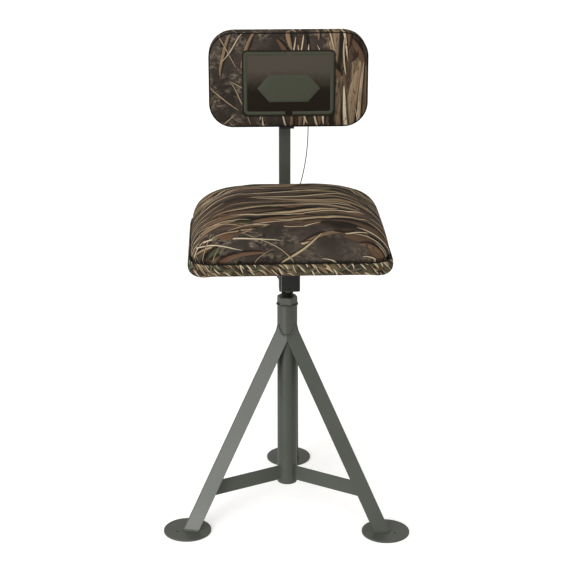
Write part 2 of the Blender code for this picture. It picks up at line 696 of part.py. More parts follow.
def smooth_route(points, step):
    """Evenly spaced points along a smooth (Catmull-Rom) curve through the given points."""
    padded = [2 * points[0] - points[1], *points, 2 * points[-1] - points[-2]]
    fine = []
    for before, start, end, after in zip(padded, padded[1:], padded[2:], padded[3:]):
        for index in range(20):
            t = index / 20
            spot = 2 * start + (end - before) * t
            spot += (2 * before - 5 * start + 4 * end - after) * t**2
            spot += (3 * start - before - 3 * end + after) * t**3
            fine.append(spot / 2)
    fine.append(points[-1])
    lengths = [0.0]
    for near, far in zip(fine, fine[1:]):
        lengths.append(lengths[-1] + (far - near).length)
    count = max(2, round(lengths[-1] / step))
    even = []
    index = 0
    for number in range(count + 1):
        wanted = lengths[-1] * number / count
        while index < len(lengths) - 2 and lengths[index + 1] < wanted:
            index += 1
        part = (wanted - lengths[index]) / (lengths[index + 1] - lengths[index])
        even.append(fine[index].lerp(fine[index + 1], part))
    return even


def make_tether(seat):
    """The cable and the ferrule crimped on each end of it."""
    route = [Vector((x, POST_Y, z)) for x, z in TETHER_ROUTE]
    curve = bpy.data.curves.new("tether", "CURVE")
    curve.dimensions = "3D"
    curve.bevel_depth = TETHER_R
    curve.bevel_resolution = 2
    curve.use_fill_caps = True
    points = smooth_route(route, 0.006)
    spline = curve.splines.new("POLY")
    spline.points.add(len(points) - 1)
    for target, point in zip(spline.points, points):
        target.co = (*point, 1)
    tether = bpy.data.objects.new("tether", curve)
    bpy.context.collection.objects.link(tether)
    tether.parent = seat
    curve.materials.append(material("cable"))

    profile = [(0.0017, 0), (0.0021, 0.0006), (0.0021, 0.0084), (0.0017, 0.009)]
    for name, end, inner in (("top", route[0], route[1]), ("low", route[-1], route[-2])):
        outward = (end - inner).normalized()
        ferrule = aim(turned(profile, 12), outward)
        place(f"tether_ferrule_{name}", ferrule, "zinc", seat, end + GAP * outward)


def tilt_point(x, y, z):
    """A point given in the seat's frame, in the tilting frame on the pivot's axis."""
    return Vector((x - POST_X, y - POST_Y, z - PIVOT_Z))


def across_post(outline, low, high):
    """An outline in X and Y of the seat's frame, stood up in the tilting frame."""
    return loft([[tilt_point(x, y, z) for x, y in outline] for z in (low, high)])


def standing(depths):
    """Loft the backrest's outline, upright, through (depth, (half width, half height, corner))."""
    rings = []
    for y, (half_x, half_z, corner) in depths:
        outline = rounded_rectangle(half_x, half_z, corner, centre=(PAD_X, 0), steps=7)
        rings.append([tilt_point(p.x, y, PAD_Z + p.y) for p in outline])
    return loft(rings)


def padded(inset, rear, front, round_r, steps=4):
    """(depth, outline size) pairs of a pad whose front edge is rounded."""
    pairs = [(rear, (PAD_HALF[0] - inset, PAD_HALF[1] - inset, PAD_CORNER - inset))]
    for step in range(steps + 1):
        angle = math.radians(90) * step / steps
        pulled = inset + round_r * (1 - math.cos(angle))
        size = (PAD_HALF[0] - pulled, PAD_HALF[1] - pulled, PAD_CORNER - pulled)
        pairs.append((front + round_r * (1 - math.sin(angle)), size))
    return pairs


def make_pivot_bracket(tilt):
    """A U-shaped bracket: a web behind the board, and a cheek on each side of the post."""
    web_front = PAD_REAR + HINGE_PLATE_T + 3 * GAP
    web_rear = web_front + CHEEK_T
    cheek_in = POST_HALF + CHEEK_GAP
    cheek_out = cheek_in + CHEEK_T
    cheek_rear = POST_Y + POST_HALF
    web_right = cheek_out + 0.004
    section = [(-cheek_out, web_front), (web_right, web_front), (web_right, web_rear)]
    section += [(cheek_out, web_rear), (cheek_out, cheek_rear), (cheek_in, cheek_rear)]
    section += [(cheek_in, web_rear), (-cheek_in, web_rear), (-cheek_in, cheek_rear)]
    section.append((-cheek_out, cheek_rear))
    outline = [(POST_X + x, y) for x, y in section]
    bracket_bm = across_post(outline, BRACKET_LOW, BRACKET_TOP)
    bracket = place("pivot_bracket", bracket_bm, "black_paint", tilt)
    cut(bracket, aim(plain_hole(PIVOT_R + GAP, -0.025, 0.025, 16), (1, 0, 0)))

    # Below the cheeks only a tongue of the web is left.
    beyond = 0.05
    margin = 0.01
    rear = cheek_rear + margin
    behind = [(-beyond, web_rear), (beyond, web_rear), (beyond, rear), (-beyond, rear)]
    tongue_left = POST_X - POST_HALF + 0.001
    near, far = web_front - margin, web_rear + margin
    beside = [(-beyond, near), (tongue_left, near), (tongue_left, far), (-beyond, far)]
    for waste in (behind, beside):
        cut(bracket, across_post(waste, BRACKET_LOW - margin, CHEEK_LOW))
    return cheek_out


def make_backrest_board(tilt):
    """The backrest's board, and the hinge plate screwed to it."""
    plate_front = PAD_REAR + GAP
    plate_rear = plate_front + HINGE_PLATE_T
    plate_middle = PIVOT_Z + 0.002
    outline = rounded_rectangle(0.050, 0.038, 0.008, steps=3)
    plate_rings = []
    for y in (plate_front, plate_rear):
        plate_rings.append([tilt_point(POST_X + p.x, y, plate_middle + p.y) for p in outline])
    plate = place("hinge_plate", loft(plate_rings), "black_paint", tilt)
    head = [(BACK_SCREW_R, -0.0085), (BACK_SCREW_R, 0), (0.0045, 0), (0.0040, 0.0018)]
    head.append((BACK_SCREW_R, 0.0026))
    holes = []
    for index, (x, z) in enumerate(BACK_SCREWS_AT, start=1):
        at = tilt_point(POST_X + x, plate_rear + GAP, plate_middle + z)
        place(f"back_screw_{index}", aim(turned(head, 16), (0, 1, 0)), "zinc", tilt, at)
        hole = aim(plain_hole(BACK_SCREW_R + GAP, -0.0095, 0.005, 16), (0, 1, 0))
        holes.append(shift(hole, *at))
    hole_mesh = merge(*holes)
    size = (PAD_HALF[0] - 0.003, PAD_HALF[1] - 0.003, PAD_CORNER - 0.003)
    board_bm = standing(((PAD_REAR - PAD_BOARD_T, size), (PAD_REAR, size)))
    board = place("backrest_board", board_bm, "black_plastic", tilt)
    cut(plate, hole_mesh.copy())
    cut(board, hole_mesh)


def make_backrest_padding(tilt):
    """The backrest's foam, cover and badge."""
    foam_inset = COVER_T + GAP
    foam_rear = PAD_REAR - PAD_BOARD_T - GAP
    foam_bm = standing(padded(foam_inset, foam_rear, PAD_FRONT + foam_inset, 0.009))
    place("backrest_foam", foam_bm, "foam", tilt)
    outer_pairs = padded(0, PAD_REAR, PAD_FRONT, 0.010)
    inner_pairs = padded(COVER_T, PAD_REAR, PAD_FRONT + COVER_T, 0.009)
    cover_bm = standing(list(reversed(outer_pairs)) + inner_pairs)
    place("backrest_cover", cover_bm, "camo_cloth", tilt)

    outline = rounded_rectangle(*BADGE_HALF, 0.010, centre=(PAD_X, 0))
    rings = []
    for y in (PAD_FRONT - GAP - BADGE_T, PAD_FRONT - GAP):
        rings.append([tilt_point(p.x, y, PAD_Z - BADGE_DROP + p.y) for p in outline])
    place("badge_patch", loft(rings), "badge", tilt)


def make_pivot(tilt, cheek_out):
    """The bolt through the bracket's cheeks and the post, with its washers and nut."""
    hole_r = PIVOT_R + GAP
    washer_near = cheek_out + GAP
    washer_far = washer_near + PIVOT_WASHER_T
    for name, side in (("pivot_washer_left", -1), ("pivot_washer_right", 1)):
        ring = washer(hole_r, PIVOT_WASHER_R, washer_near, washer_far, 20)
        place(name, aim(ring, (side, 0, 0)), "zinc", tilt)
    near = washer_far + GAP
    shank = 2 * near + PIVOT_NUT_T + 0.001
    bolt_bm = aim(bolt(PIVOT_HEX_R, PIVOT_HEAD_H, PIVOT_R, shank), (-1, 0, 0))
    place("pivot_bolt", bolt_bm, "zinc", tilt, (-near, 0, 0))
    nut_bm = aim(hex_nut(PIVOT_HEX_R, hole_r, near, near + PIVOT_NUT_T), (1, 0, 0))
    place("pivot_nut", nut_bm, "zinc", tilt)


def main():
    """Clear the scene, set up the frames and make every piece."""
    for old in list(bpy.data.objects):
        bpy.data.objects.remove(old, do_unlink=True)
    base = frame("tripod_frame", location=(0, COLUMN_Y, 0))
    seat = frame("seat_frame", base, turn_z=SEAT_YAW)
    tilt = frame("tilt_axis", seat, (POST_X, POST_Y, PIVOT_Z))
    make_tripod(base)
    make_stem(base)
    make_swivel_housing(seat)
    make_seat_base(seat)
    make_seat_padding(seat)
    make_post_receiver(seat)
    make_clamp(seat)
    make_post(seat)
    make_tether_lug(seat)
    make_tether_tab(seat)
    make_tether(seat)
    cheek_out = make_pivot_bracket(tilt)
    make_backrest_board(tilt)
    make_backrest_padding(tilt)
    make_pivot(tilt, cheek_out)


main()
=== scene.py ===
"""Looks of a swivel stool on a welded tripod: padding, printed cloth, finishes, welds and thread.

All lengths are in metres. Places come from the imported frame. The seat, and all that turns with it,
is made square in the seat's own axes and then turned into place.
"""

import json
import math

import bpy
from mathutils import Matrix, Vector


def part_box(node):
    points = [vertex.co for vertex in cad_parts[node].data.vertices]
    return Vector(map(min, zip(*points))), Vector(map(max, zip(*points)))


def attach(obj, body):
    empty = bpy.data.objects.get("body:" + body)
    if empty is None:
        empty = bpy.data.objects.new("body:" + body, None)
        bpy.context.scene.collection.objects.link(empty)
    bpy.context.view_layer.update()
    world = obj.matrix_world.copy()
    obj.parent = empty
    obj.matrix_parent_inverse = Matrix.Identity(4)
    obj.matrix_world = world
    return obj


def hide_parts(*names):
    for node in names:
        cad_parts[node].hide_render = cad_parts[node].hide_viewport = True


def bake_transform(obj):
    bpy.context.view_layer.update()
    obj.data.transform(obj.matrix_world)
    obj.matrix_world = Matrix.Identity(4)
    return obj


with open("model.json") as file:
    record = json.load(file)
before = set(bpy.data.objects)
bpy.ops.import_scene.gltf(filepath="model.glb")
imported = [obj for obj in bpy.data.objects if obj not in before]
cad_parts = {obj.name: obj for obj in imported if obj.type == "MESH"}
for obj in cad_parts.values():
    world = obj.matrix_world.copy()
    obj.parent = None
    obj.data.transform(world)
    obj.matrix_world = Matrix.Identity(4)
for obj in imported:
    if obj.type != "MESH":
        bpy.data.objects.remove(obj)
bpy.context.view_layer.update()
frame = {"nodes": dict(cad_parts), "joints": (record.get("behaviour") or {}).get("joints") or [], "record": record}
joints = {joint["name"]: joint for joint in frame["joints"]}


# ---- places in the frame

def column_centre():
    low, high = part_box("column_tube")
    return Vector(((low.x + high.x) / 2, (low.y + high.y) / 2, 0))


def seat_axes():
    """The seat's own axes: on the column's axis, turned with the seat."""
    tilt_axis = joints["back_tilt"]["axis"]
    yaw = math.atan2(-tilt_axis[1], -tilt_axis[0])
    return Matrix.Translation(column_centre()) @ Matrix.Rotation(yaw, 4, "Z")


COLUMN = column_centre()
SEAT = seat_axes()


def seat_box(node):
    """Lowest and highest corner of a CAD node in the seat's axes."""
    to_seat = SEAT.inverted()
    points = [to_seat @ vertex.co for vertex in frame["nodes"][node].data.vertices]
    low = Vector([min(point[axis] for point in points) for axis in range(3)])
    high = Vector([max(point[axis] for point in points) for axis in range(3)])
    return low, high


# ---- camera and light

CAMERA_LENS = 100
CAMERA_TURN = math.radians(0.8)
CAMERA_PITCH = math.radians(19.39)
CAMERA_AT = Vector((-0.0027, -3.1379, 1.6148))


def linked(name, data):
    """A new object in the scene."""
    made = bpy.data.objects.new(name, data)
    bpy.context.scene.collection.objects.link(made)
    return made


def make_camera():
    data = bpy.data.cameras.new("camera")
    data.lens = CAMERA_LENS
    camera = linked("camera", data)
    camera.location = COLUMN + Matrix.Rotation(CAMERA_TURN, 3, "Z") @ CAMERA_AT
    camera.rotation_euler = (math.radians(90) - CAMERA_PITCH, 0, CAMERA_TURN)
    bpy.context.scene.camera = camera


def soft_sun(name, turn, height, spread, strength):
    """A broad light from far away. All angles are in degrees; turn goes to the object's left."""
    data = bpy.data.lights.new(name, "SUN")
    data.energy = strength
    data.angle = math.radians(spread)
    linked(name, data).rotation_euler = (math.radians(90 - height), 0, math.radians(-turn))


def reflector(name, location, size, watts):
    """A white card beside the object, which rims the round and glossy parts."""
    data = bpy.data.lights.new(name, "AREA")
    data.shape = "RECTANGLE"
    data.size, data.size_y = size
    data.energy = watts
    light = linked(name, data)
    light.visible_camera = False
    light.location = location
    aim = Vector((0, 0, location[2])) - Vector(location)
    light.rotation_euler = aim.to_track_quat("-Z", "Y").to_euler()


def make_light():
    """Soft studio light: a high broad key, a softbox at the left, and a card on each side."""
    bpy.context.scene.view_settings.view_transform = "Standard"
    soft_sun("key_light", turn=25, height=42, spread=70, strength=0.95)
    soft_sun("left_softbox", turn=30, height=19, spread=24, strength=0.80)
    reflector("low_strip", (-0.62, -0.95, 0.17), (0.20, 0.32), 2.0)
    reflector("left_card", (-1.70, -0.10, 0.50), (0.40, 0.90), 3.0)
    reflector("right_card", (1.70, 0.10, 0.50), (0.40, 0.90), 2.0)
    world = bpy.data.worlds.new("studio")
    bpy.context.scene.world = world
    world.use_nodes = True
    sky = world.node_tree.nodes["Background"]
    sky.inputs["Color"].default_value = (1.0, 0.985, 0.95, 1)
    sky.inputs["Strength"].default_value = 0.56


# ---- mesh helpers

def add_piece(name, mesh, body, slot, finish=None, matrix=SEAT):
    """Put a mesh in the scene as a named piece that rides on a CAD body."""
    mesh.transform(matrix)
    mesh.materials.append(finish or FINISHES[slot])
    piece = linked(name, mesh)
    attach(piece, body)
    return piece


def ring_mesh(name, rings, round_path=False, caps=True, smooth=True):
    """Skin rings of points into one surface. A round path joins the last ring to the first."""
    size = len(rings[0])
    points = [point for ring in rings for point in ring]
    faces = []
    count = len(rings) if round_path else len(rings) - 1
    for step in range(count):
        here, there = step * size, ((step + 1) % len(rings)) * size
        for index in range(size):
            after = (index + 1) % size
            faces.append((here + index, here + after, there + after, there + index))
    if caps and not round_path:
        faces.append(tuple(reversed(range(size))))
        faces.append(tuple(range(len(points) - size, len(points))))
    mesh = bpy.data.meshes.new(name)
    mesh.from_pydata([tuple(point) for point in points], [], faces)
    mesh.polygons.foreach_set("use_smooth", [smooth] * len(mesh.polygons))
    mesh.update()
    return mesh


def along_path(path, step, closed=False):
    """Evenly spaced points along a smooth (Catmull-Rom) curve through the given points."""
    path = [Vector(point) for point in path]
    if closed:
        padded = [path[-1], *path, path[0], path[1]]
    else:
        padded = [2 * path[0] - path[1], *path, 2 * path[-1] - path[-2]]
    fine = []
    for before, start, end, after in zip(padded, padded[1:], padded[2:], padded[3:]):
        for index in range(20):
            t = index / 20
            spot = 2 * start + (end - before) * t
            spot += (2 * before - 5 * start + 4 * end - after) * t**2
            spot += (3 * start - before - 3 * end + after) * t**3
            fine.append(spot / 2)
    fine.append(path[0] if closed else path[-1])
    lengths = [0.0]
    for near, far in zip(fine, fine[1:]):
        lengths.append(lengths[-1] + (far - near).length)
    count = max(2, round(lengths[-1] / step))
    even, index = [], 0
    for number in range(count if closed else count + 1):
        wanted = lengths[-1] * number / count
        while index < len(lengths) - 2 and lengths[index + 1] < wanted:
            index += 1
        part = (wanted - lengths[index]) / (lengths[index + 1] - lengths[index])
        even.append(fine[index].lerp(fine[index + 1], part))
    return even


def tube_rings(path, radius_at, sides, closed=False):
    """Rings round a path. radius_at takes the distance along it and the angle round it."""
    count = len(path)
    rings = []
    side = None
    distance = 0.0
    for index, point in enumerate(path):
        after = path[(index + 1) % count] if closed or index < count - 1 else point
        before = path[index - 1] if closed or index else point
        ahead = (after - before).normalized()
        if side is None:
            side = ahead.orthogonal().normalized()
        side = (side - side.dot(ahead) * ahead).normalized()
        other = ahead.cross(side)
        if index:
            distance += (point - path[index - 1]).length
        ring = []
        for step in range(sides):
            angle = 2 * math.pi * step / sides
            radius = radius_at(distance, angle)
            ring.append(point + radius * (math.cos(angle) * side + math.sin(angle) * other))
        rings.append(ring)
    return rings


def tube_mesh(name, path, radius, sides=10, closed=False):
    return ring_mesh(name, tube_rings(path, lambda distance, angle: radius, sides, closed), closed)


def perimeter(half_x, half_y, corner, step, centre=(0.0, 0.0)):
    """Even stations round a rounded rectangle: (place, outward direction, distance, cornerness)."""
    arc = math.pi / 2 * corner
    legs = (2 * (half_x - corner), arc, 2 * (half_y - corner), arc) * 2
    total = sum(legs)
    count = round(total / step)
    middles = ((-1, -1), (1, -1), (1, 1), (-1, 1))
    stations = []
    for number in range(count):
        left = total * number / count
        for leg, length in enumerate(legs):
            if left < length:
                break
            left -= length
        side, is_arc = divmod(leg, 2)
        side_x, side_y = middles[(side + is_arc) % 4]
        angle = math.radians(-90 + 90 * side) + is_arc * left / corner
        way = Vector((math.cos(angle), math.sin(angle)))
        place = Vector((side_x * (half_x - corner), side_y * (half_y - corner))) + corner * way
        if not is_arc:
            place += left * Vector((-way.y, way.x))
        cornerness = is_arc * math.sin(math.pi * left / length)
        stations.append((place + Vector(centre), way, total * number / count, cornerness))
    return stations


def outline(half_x, half_y, corner, count, centre=(0.0, 0.0)):
    """A rounded rectangle as this many even points."""
    length = 4 * (half_x + half_y - 2 * corner) + 2 * math.pi * corner
    return [place for place, *rest in perimeter(half_x, half_y, corner, length / count, centre)]


def circle(radius_of, z, sides):
    """Points round the column's axis. radius_of takes the angle."""
    points = []
    for step in range(sides):
        angle = 2 * math.pi * step / sides
        radius = radius_of(angle)
        points.append(COLUMN + Vector((radius * math.cos(angle), radius * math.sin(angle), z)))
    return points


def weld_mesh(name, path, radius, closed=False):
    """A weld bead: a tube with the overlapping ripples that the weld pool leaves."""
    pitch = 0.0024

    def radius_at(distance, angle):
        ripple = (distance / pitch) % 1.0
        return radius * (0.90 + 0.16 * ripple)

    even = along_path(path, pitch / 4, closed)
    return ring_mesh(name, tube_rings(even, radius_at, 10, closed), closed)


# ---- node helpers

class Nodes:
    """Adds nodes to a tree with short calls. An input may be a socket, a number or a colour."""

    def __init__(self, tree):
        self.tree = tree

    def add(self, kind, inputs=None, **settings):
        node = self.tree.nodes.new("ShaderNode" + kind)
        for key, value in settings.items():
            setattr(node, key, value)
        for key, value in (inputs or {}).items():
            self.feed(node.inputs[key], value)
        return node

    def feed(self, socket, value):
        if isinstance(value, bpy.types.NodeSocket):
            self.tree.links.new(value, socket)
        elif socket.type == "RGBA":
            socket.default_value = (*value, 1.0)
        else:
            socket.default_value = value

    def math(self, operation, first, second=0.0, clamp=False):
        return self.add("Math", {0: first, 1: second}, operation=operation, use_clamp=clamp).outputs[0]

    def times(self, first, *others):
        for other in others:
            first = self.math("MULTIPLY", first, other)
        return first

    def plus(self, first, second, clamp=False):
        return self.math("ADD", first, second, clamp)

    def minus(self, first, second, clamp=False):
        return self.math("SUBTRACT", first, second, clamp)

    def wave(self, value, length):
        return self.math("SINE", self.times(value, 2 * math.pi / length))

    def position(self):
        return self.add("NewGeometry").outputs["Position"]

    def flat_cloth(self):
        """Where a point lies on the flat cloth, as lay_cloth stored it."""
        return self.add("Attribute", attribute_name="cloth").outputs["Vector"]

    def parts(self, vector):
        return self.add("SeparateXYZ", {0: vector}).outputs

    def vector(self, x, y, z=0.0):
        return self.add("CombineXYZ", {0: x, 1: y, 2: z}).outputs[0]

    def scaled(self, vector, sizes):
        return self.add("VectorMath", {0: vector, 1: sizes}, operation="MULTIPLY").outputs[0]

    def mix(self, share, first, second):
        return self.add("Mix", {0: share, 6: first, 7: second}, data_type="RGBA").outputs[2]

    def varied(self, value, dark, light, start=0.3, end=0.7):
        """From the dark colour to the light one as the value goes from start to end."""
        return self.mix(self.step(value, start, end), dark, light)

    def step(self, value, start, end, low=0.0, high=1.0):
        """A smooth step from low to high as the value goes from start to end."""
        inputs = {"Value": value, "From Min": start, "From Max": end, "To Min": low, "To Max": high}
        return self.add("MapRange", inputs, interpolation_type="SMOOTHSTEP").outputs[0]

    def noise(self, vector, scale, detail=2.0, rough=0.5):
        inputs = {"Vector": vector, "Scale": scale, "Detail": detail, "Roughness": rough}
        return self.add("TexNoise", inputs).outputs["Fac"]

    def random(self, dimensions, *numbers):
        """Random value and colour that stay the same for the same numbers."""
        place = {"Vector": self.vector(*numbers)}
        return self.add("TexWhiteNoise", place, noise_dimensions=dimensions).outputs

    def bump(self, height, distance, strength=1.0, normal=None):
        inputs = {"Height": height, "Distance": distance, "Strength": strength}
        if normal:
            inputs["Normal"] = normal
        return self.add("Bump", inputs).outputs[0]


class Material(Nodes):
    """A new material with its shader's own sockets set, to which nodes are added."""

    def __init__(self, name, **settings):
        self.made = bpy.data.materials.new(name)
        self.made.use_nodes = True
        super().__init__(self.made.node_tree)
        for key, value in settings.items():
            self.set(key.replace("_", " "), value)

    def set(self, socket, value):
        self.feed(self.tree.nodes["Principled BSDF"].inputs[socket], value)

    def rough(self, value, low, high):
        """Roughness that goes from low to high with the value."""
        self.set("Roughness", self.step(value, 0.2, 0.8, low, high))

    def relief(self, *bump):
        self.set("Normal", self.bump(*bump))


# ---- hard finishes

def powder_coat():
    """Olive-grey textured powder coat: orange peel, fine speckle and a little handling dust."""
    n = Material("powder_coat")
    place = n.position()
    cloud = n.noise(place, 9.0, 3.0)
    fleck = n.noise(place, 1400.0, 1.0)
    colour = n.varied(cloud, (0.061, 0.066, 0.055), (0.072, 0.078, 0.066))
    colour = n.mix(n.step(fleck, 0.62, 0.75, 0.0, 0.35), colour, (0.20, 0.21, 0.19))
    n.set("Base Color", colour)
    n.rough(cloud, 0.38, 0.46)
    n.relief(n.noise(place, 520.0, 2.0), 0.0002, 0.35)
    return n.made


def black_paint():
    """Semi-gloss black paint with faint runs and scuffs."""
    n = Material("black_paint", Specular_IOR_Level=0.40)
    place = n.position()
    cloud = n.noise(place, 30.0, 4.0)
    scuff = n.noise(n.scaled(place, (900.0, 900.0, 120.0)), 1.0, 2.0)
    colour = n.varied(cloud, (0.009, 0.0095, 0.009), (0.014, 0.014, 0.013))
    colour = n.mix(n.step(scuff, 0.70, 0.80, 0.0, 0.4), colour, (0.06, 0.06, 0.055))
    n.set("Base Color", colour)
    n.rough(cloud, 0.14, 0.22)
    n.relief(n.noise(place, 260.0, 2.0), 0.0002, 0.25)
    return n.made


def zinc():
    """Zinc-plated steel: fine drawn grain and a mottled, slightly yellow tone."""
    n = Material("zinc", Metallic=1.0)
    place = n.position()
    mottle = n.noise(place, 240.0, 3.0)
    grain = n.noise(n.scaled(place, (2600.0, 2600.0, 300.0)), 1.0, 2.0)
    colour = n.varied(mottle, (0.42, 0.41, 0.38), (0.55, 0.54, 0.50))
    n.set("Base Color", colour)
    n.rough(grain, 0.28, 0.48)
    n.relief(grain, 0.0001, 0.3)
    return n.made


def dark_steel():
    """Blackened, oiled steel of the threaded stem, brighter where the thread has rubbed."""
    n = Material("dark_steel", Metallic=0.8)
    rubbed = n.noise(n.position(), 320.0, 3.0)
    colour = n.varied(rubbed, (0.020, 0.020, 0.018), (0.085, 0.083, 0.076), 0.55, 0.75)
    n.set("Base Color", colour)
    n.set("Roughness", n.step(rubbed, 0.3, 0.8, 0.50, 0.32))
    n.relief(rubbed, 0.0001, 0.3)
    return n.made


def moulded(name, dark, light, roughness, grain_size, depth):
    """Moulded plastic with a fine spark-eroded grain."""
    n = Material(name)
    place = n.position()
    grain = n.noise(place, 1 / grain_size, 2.0)
    cloud = n.noise(place, 22.0, 3.0)
    n.set("Base Color", n.varied(cloud, dark, light))
    n.rough(grain, roughness - 0.08, roughness + 0.08)
    n.relief(grain, depth, 0.5)
    return n.made


def plywood():
    """Raw plywood: long grain on the face, and darker and lighter plies by height."""
    n = Material("plywood", Roughness=0.75)
    place = n.position()
    grain = n.noise(n.scaled(place, (6.0, 140.0, 140.0)), 1.0, 4.0)
    ply_pair = 0.0028
    ply = n.wave(n.parts(place)[2], ply_pair)
    colour = n.varied(grain, (0.42, 0.27, 0.13), (0.60, 0.43, 0.25))
    colour = n.mix(n.step(ply, -0.2, 0.2, 0.0, 0.35), colour, (0.30, 0.17, 0.08))
    n.set("Base Color", colour)
    n.relief(grain, 0.0004, 0.5)
    return n.made


def foam():
    """Open-cell foam, seen only where the cover leaves it bare."""
    n = Material("foam", Roughness=0.95)
    pores = n.add("TexVoronoi", {"Vector": n.position(), "Scale": 900.0}).outputs["Distance"]
    n.set("Base Color", n.mix(pores, (0.34, 0.30, 0.19), (0.62, 0.56, 0.40)))
    n.relief(pores, 0.0006, 0.6)
    return n.made


def coated_cable():
    """Thin twisted steel cable in a clear grey plastic coat."""
    n = Material("coated_cable", Metallic=0.35, Coat_Weight=0.5, Coat_Roughness=0.2)
    tone = n.noise(n.position(), 900.0, 2.0)
    n.set("Base Color", n.varied(tone, (0.030, 0.030, 0.028), (0.060, 0.060, 0.056)))
    n.rough(tone, 0.30, 0.45)
    n.relief(tone, 0.0001, 0.2)
    return n.made


def thread_cloth(name, dark, light, pitch, painted_top_light=None):
    """Closely stitched thread or binding tape: fine parallel ribs, and a little fluff.

    A painted highlight colour comes in towards the top of a piece that carries the cloth attribute, light painted
    onto its upper part.
    """
    n = Material(name, Specular_IOR_Level=0.10, Roughness=0.8)
    place = n.position()
    parts = n.parts(place)
    slanted = n.plus(parts[0], n.times(parts[2], 0.35))
    rib = n.wave(slanted, pitch)
    fluff = n.noise(place, 1500.0, 2.0)
    tone = n.plus(n.times(rib, 0.25), fluff, clamp=True)
    colour = n.varied(tone, dark, light, 0.15, 0.85)
    if painted_top_light:
        # painted highlight: the colour goes lighter towards the top of the piece, standing in for light falling on
        # its upper part
        height = n.parts(n.flat_cloth())[1]
        cloud = n.times(n.noise(place, 90.0, 3.0), 0.3)
        colour = n.varied(n.plus(height, cloud), colour, painted_top_light, -0.15, 0.65)
    n.set("Base Color", colour)
    n.relief(tone, 0.0003, 0.6)
    return n.made


# ---- printed reed camouflage

CHARCOAL = (0.031, 0.024, 0.019)
UMBER = (0.068, 0.044, 0.029)
BROWN = (0.124, 0.075, 0.044)
RUST = (0.122, 0.062, 0.036)
STALK = (0.200, 0.132, 0.080)
TAN = (0.285, 0.195, 0.112)
STRAW = (0.460, 0.350, 0.215)
CREAM = (0.640, 0.540, 0.380)
OLIVE = (0.075, 0.079, 0.045)
MOSS = (0.055, 0.078, 0.034)
STONE = (0.145, 0.128, 0.104)
SHADE = (0.010, 0.008, 0.006)


def reeds_group():
    """Node group that lays one layer of printed blades over a colour.

    The cloth is split into lanes, and each lane into stretches that start at a random place. A
    stretch may hold one blade, with its own tilt, bend, width and shade, and a shadow beside it.
    """
    group = bpy.data.node_groups.new("reeds", "ShaderNodeTree")
    sockets = {"Under": "Color", "Place": "Vector"}
    for name in ("Angle", "Lane", "Length", "Width", "Cover", "Bend", "Seed"):
        sockets[name] = "Float"
    sockets.update(Dark="Color", Light="Color")
    for name, kind in sockets.items():
        group.interface.new_socket(name, in_out="INPUT", socket_type="NodeSocket" + kind)
    group.interface.new_socket("Color", in_out="OUTPUT", socket_type="NodeSocketColor")
    n = Nodes(group)
    given = group.nodes.new("NodeGroupInput").outputs
    turn = {"Vector": given["Place"], "Angle": given["Angle"]}
    parts = n.parts(n.add("VectorRotate", turn, rotation_type="Z_AXIS").outputs[0])
    lanes = n.plus(n.math("DIVIDE", parts[1], given["Lane"]), n.times(given["Seed"], 7.31))
    lane = n.math("FLOOR", lanes)
    in_lane = n.minus(n.minus(lanes, lane), 0.5)
    start = n.random("2D", lane, given["Seed"])[0]
    stretches = n.plus(n.math("DIVIDE", parts[0], given["Length"]), n.times(start, 9.7))
    stretch = n.math("FLOOR", stretches)
    in_stretch = n.minus(n.minus(stretches, stretch), 0.5)
    chance = n.random("3D", lane, stretch, given["Seed"])
    draws = n.add("SeparateColor", {0: chance["Color"]}).outputs

    reach = n.plus(n.times(draws[0], 0.22), 0.27)
    along = n.math("DIVIDE", in_stretch, reach)
    along_square = n.times(along, along)
    taper = n.math("SQRT", n.math("MAXIMUM", n.minus(1.0, along_square), 0.0))
    tilt = n.times(n.minus(draws[1], 0.5), 0.5, along)
    bend = n.times(n.minus(draws[2], 0.5), n.minus(along_square, 0.4))
    centre = n.plus(tilt, n.times(bend, given["Bend"]))
    width = n.times(n.plus(n.times(draws[2], 0.6), 0.4), given["Width"])
    half = n.math("MAXIMUM", n.times(width, taper, 0.5), 0.002)
    side = n.math("DIVIDE", n.minus(in_lane, centre), half)
    edge = n.math("ABSOLUTE", side)
    is_drawn = n.math("LESS_THAN", chance["Value"], given["Cover"])
    there = n.times(is_drawn, n.math("GREATER_THAN", taper, 0.02))
    blade = n.times(n.step(edge, 0.80, 1.05, 1.0, 0.0), there)
    shadow = n.times(n.step(n.math("ABSOLUTE", n.minus(side, 0.6)), 0.8, 2.2, 0.85, 0.0), there)

    fibre = n.noise(n.vector(n.times(parts[0], 16.0), n.times(parts[1], 420.0)), 1.0, 4.0, 0.6)
    tone = n.plus(n.times(fibre, 2.2), n.times(draws[1], 0.7))
    tone = n.plus(tone, n.times(side, -0.26))
    colour = n.varied(tone, given["Dark"], given["Light"], 0.80, 2.00)
    rim = n.step(n.plus(edge, n.times(side, 0.15)), 0.72, 1.0, 0.0, 0.55)
    colour = n.mix(rim, colour, CHARCOAL)
    under = n.mix(shadow, given["Under"], SHADE)
    result = group.nodes.new("NodeGroupOutput")
    n.feed(result.inputs["Color"], n.mix(blade, under, colour))
    return group


REEDS = reeds_group()


def lay_reeds(n, under, place, layers, regions=None):
    """Lay several layers of blades over a colour, from the bottom up.

    Each layer is (angle, lane, length, width, cover, bend, dark, light, region). The angle is in
    degrees, and a region is the name of a socket that thins the layer out.
    """
    for number, (angle, lane, length, width, cover, bend, dark, light, region) in enumerate(layers):
        share = n.times(regions[region], cover) if region else cover
        node = n.add("Group", node_tree=REEDS)
        values = (under, place, math.radians(angle), lane, length, width, share, bend)
        for socket, value in zip(node.inputs, (*values, number + 3.0, dark, light)):
            n.feed(socket, value)
        under = node.outputs[0]
    return under


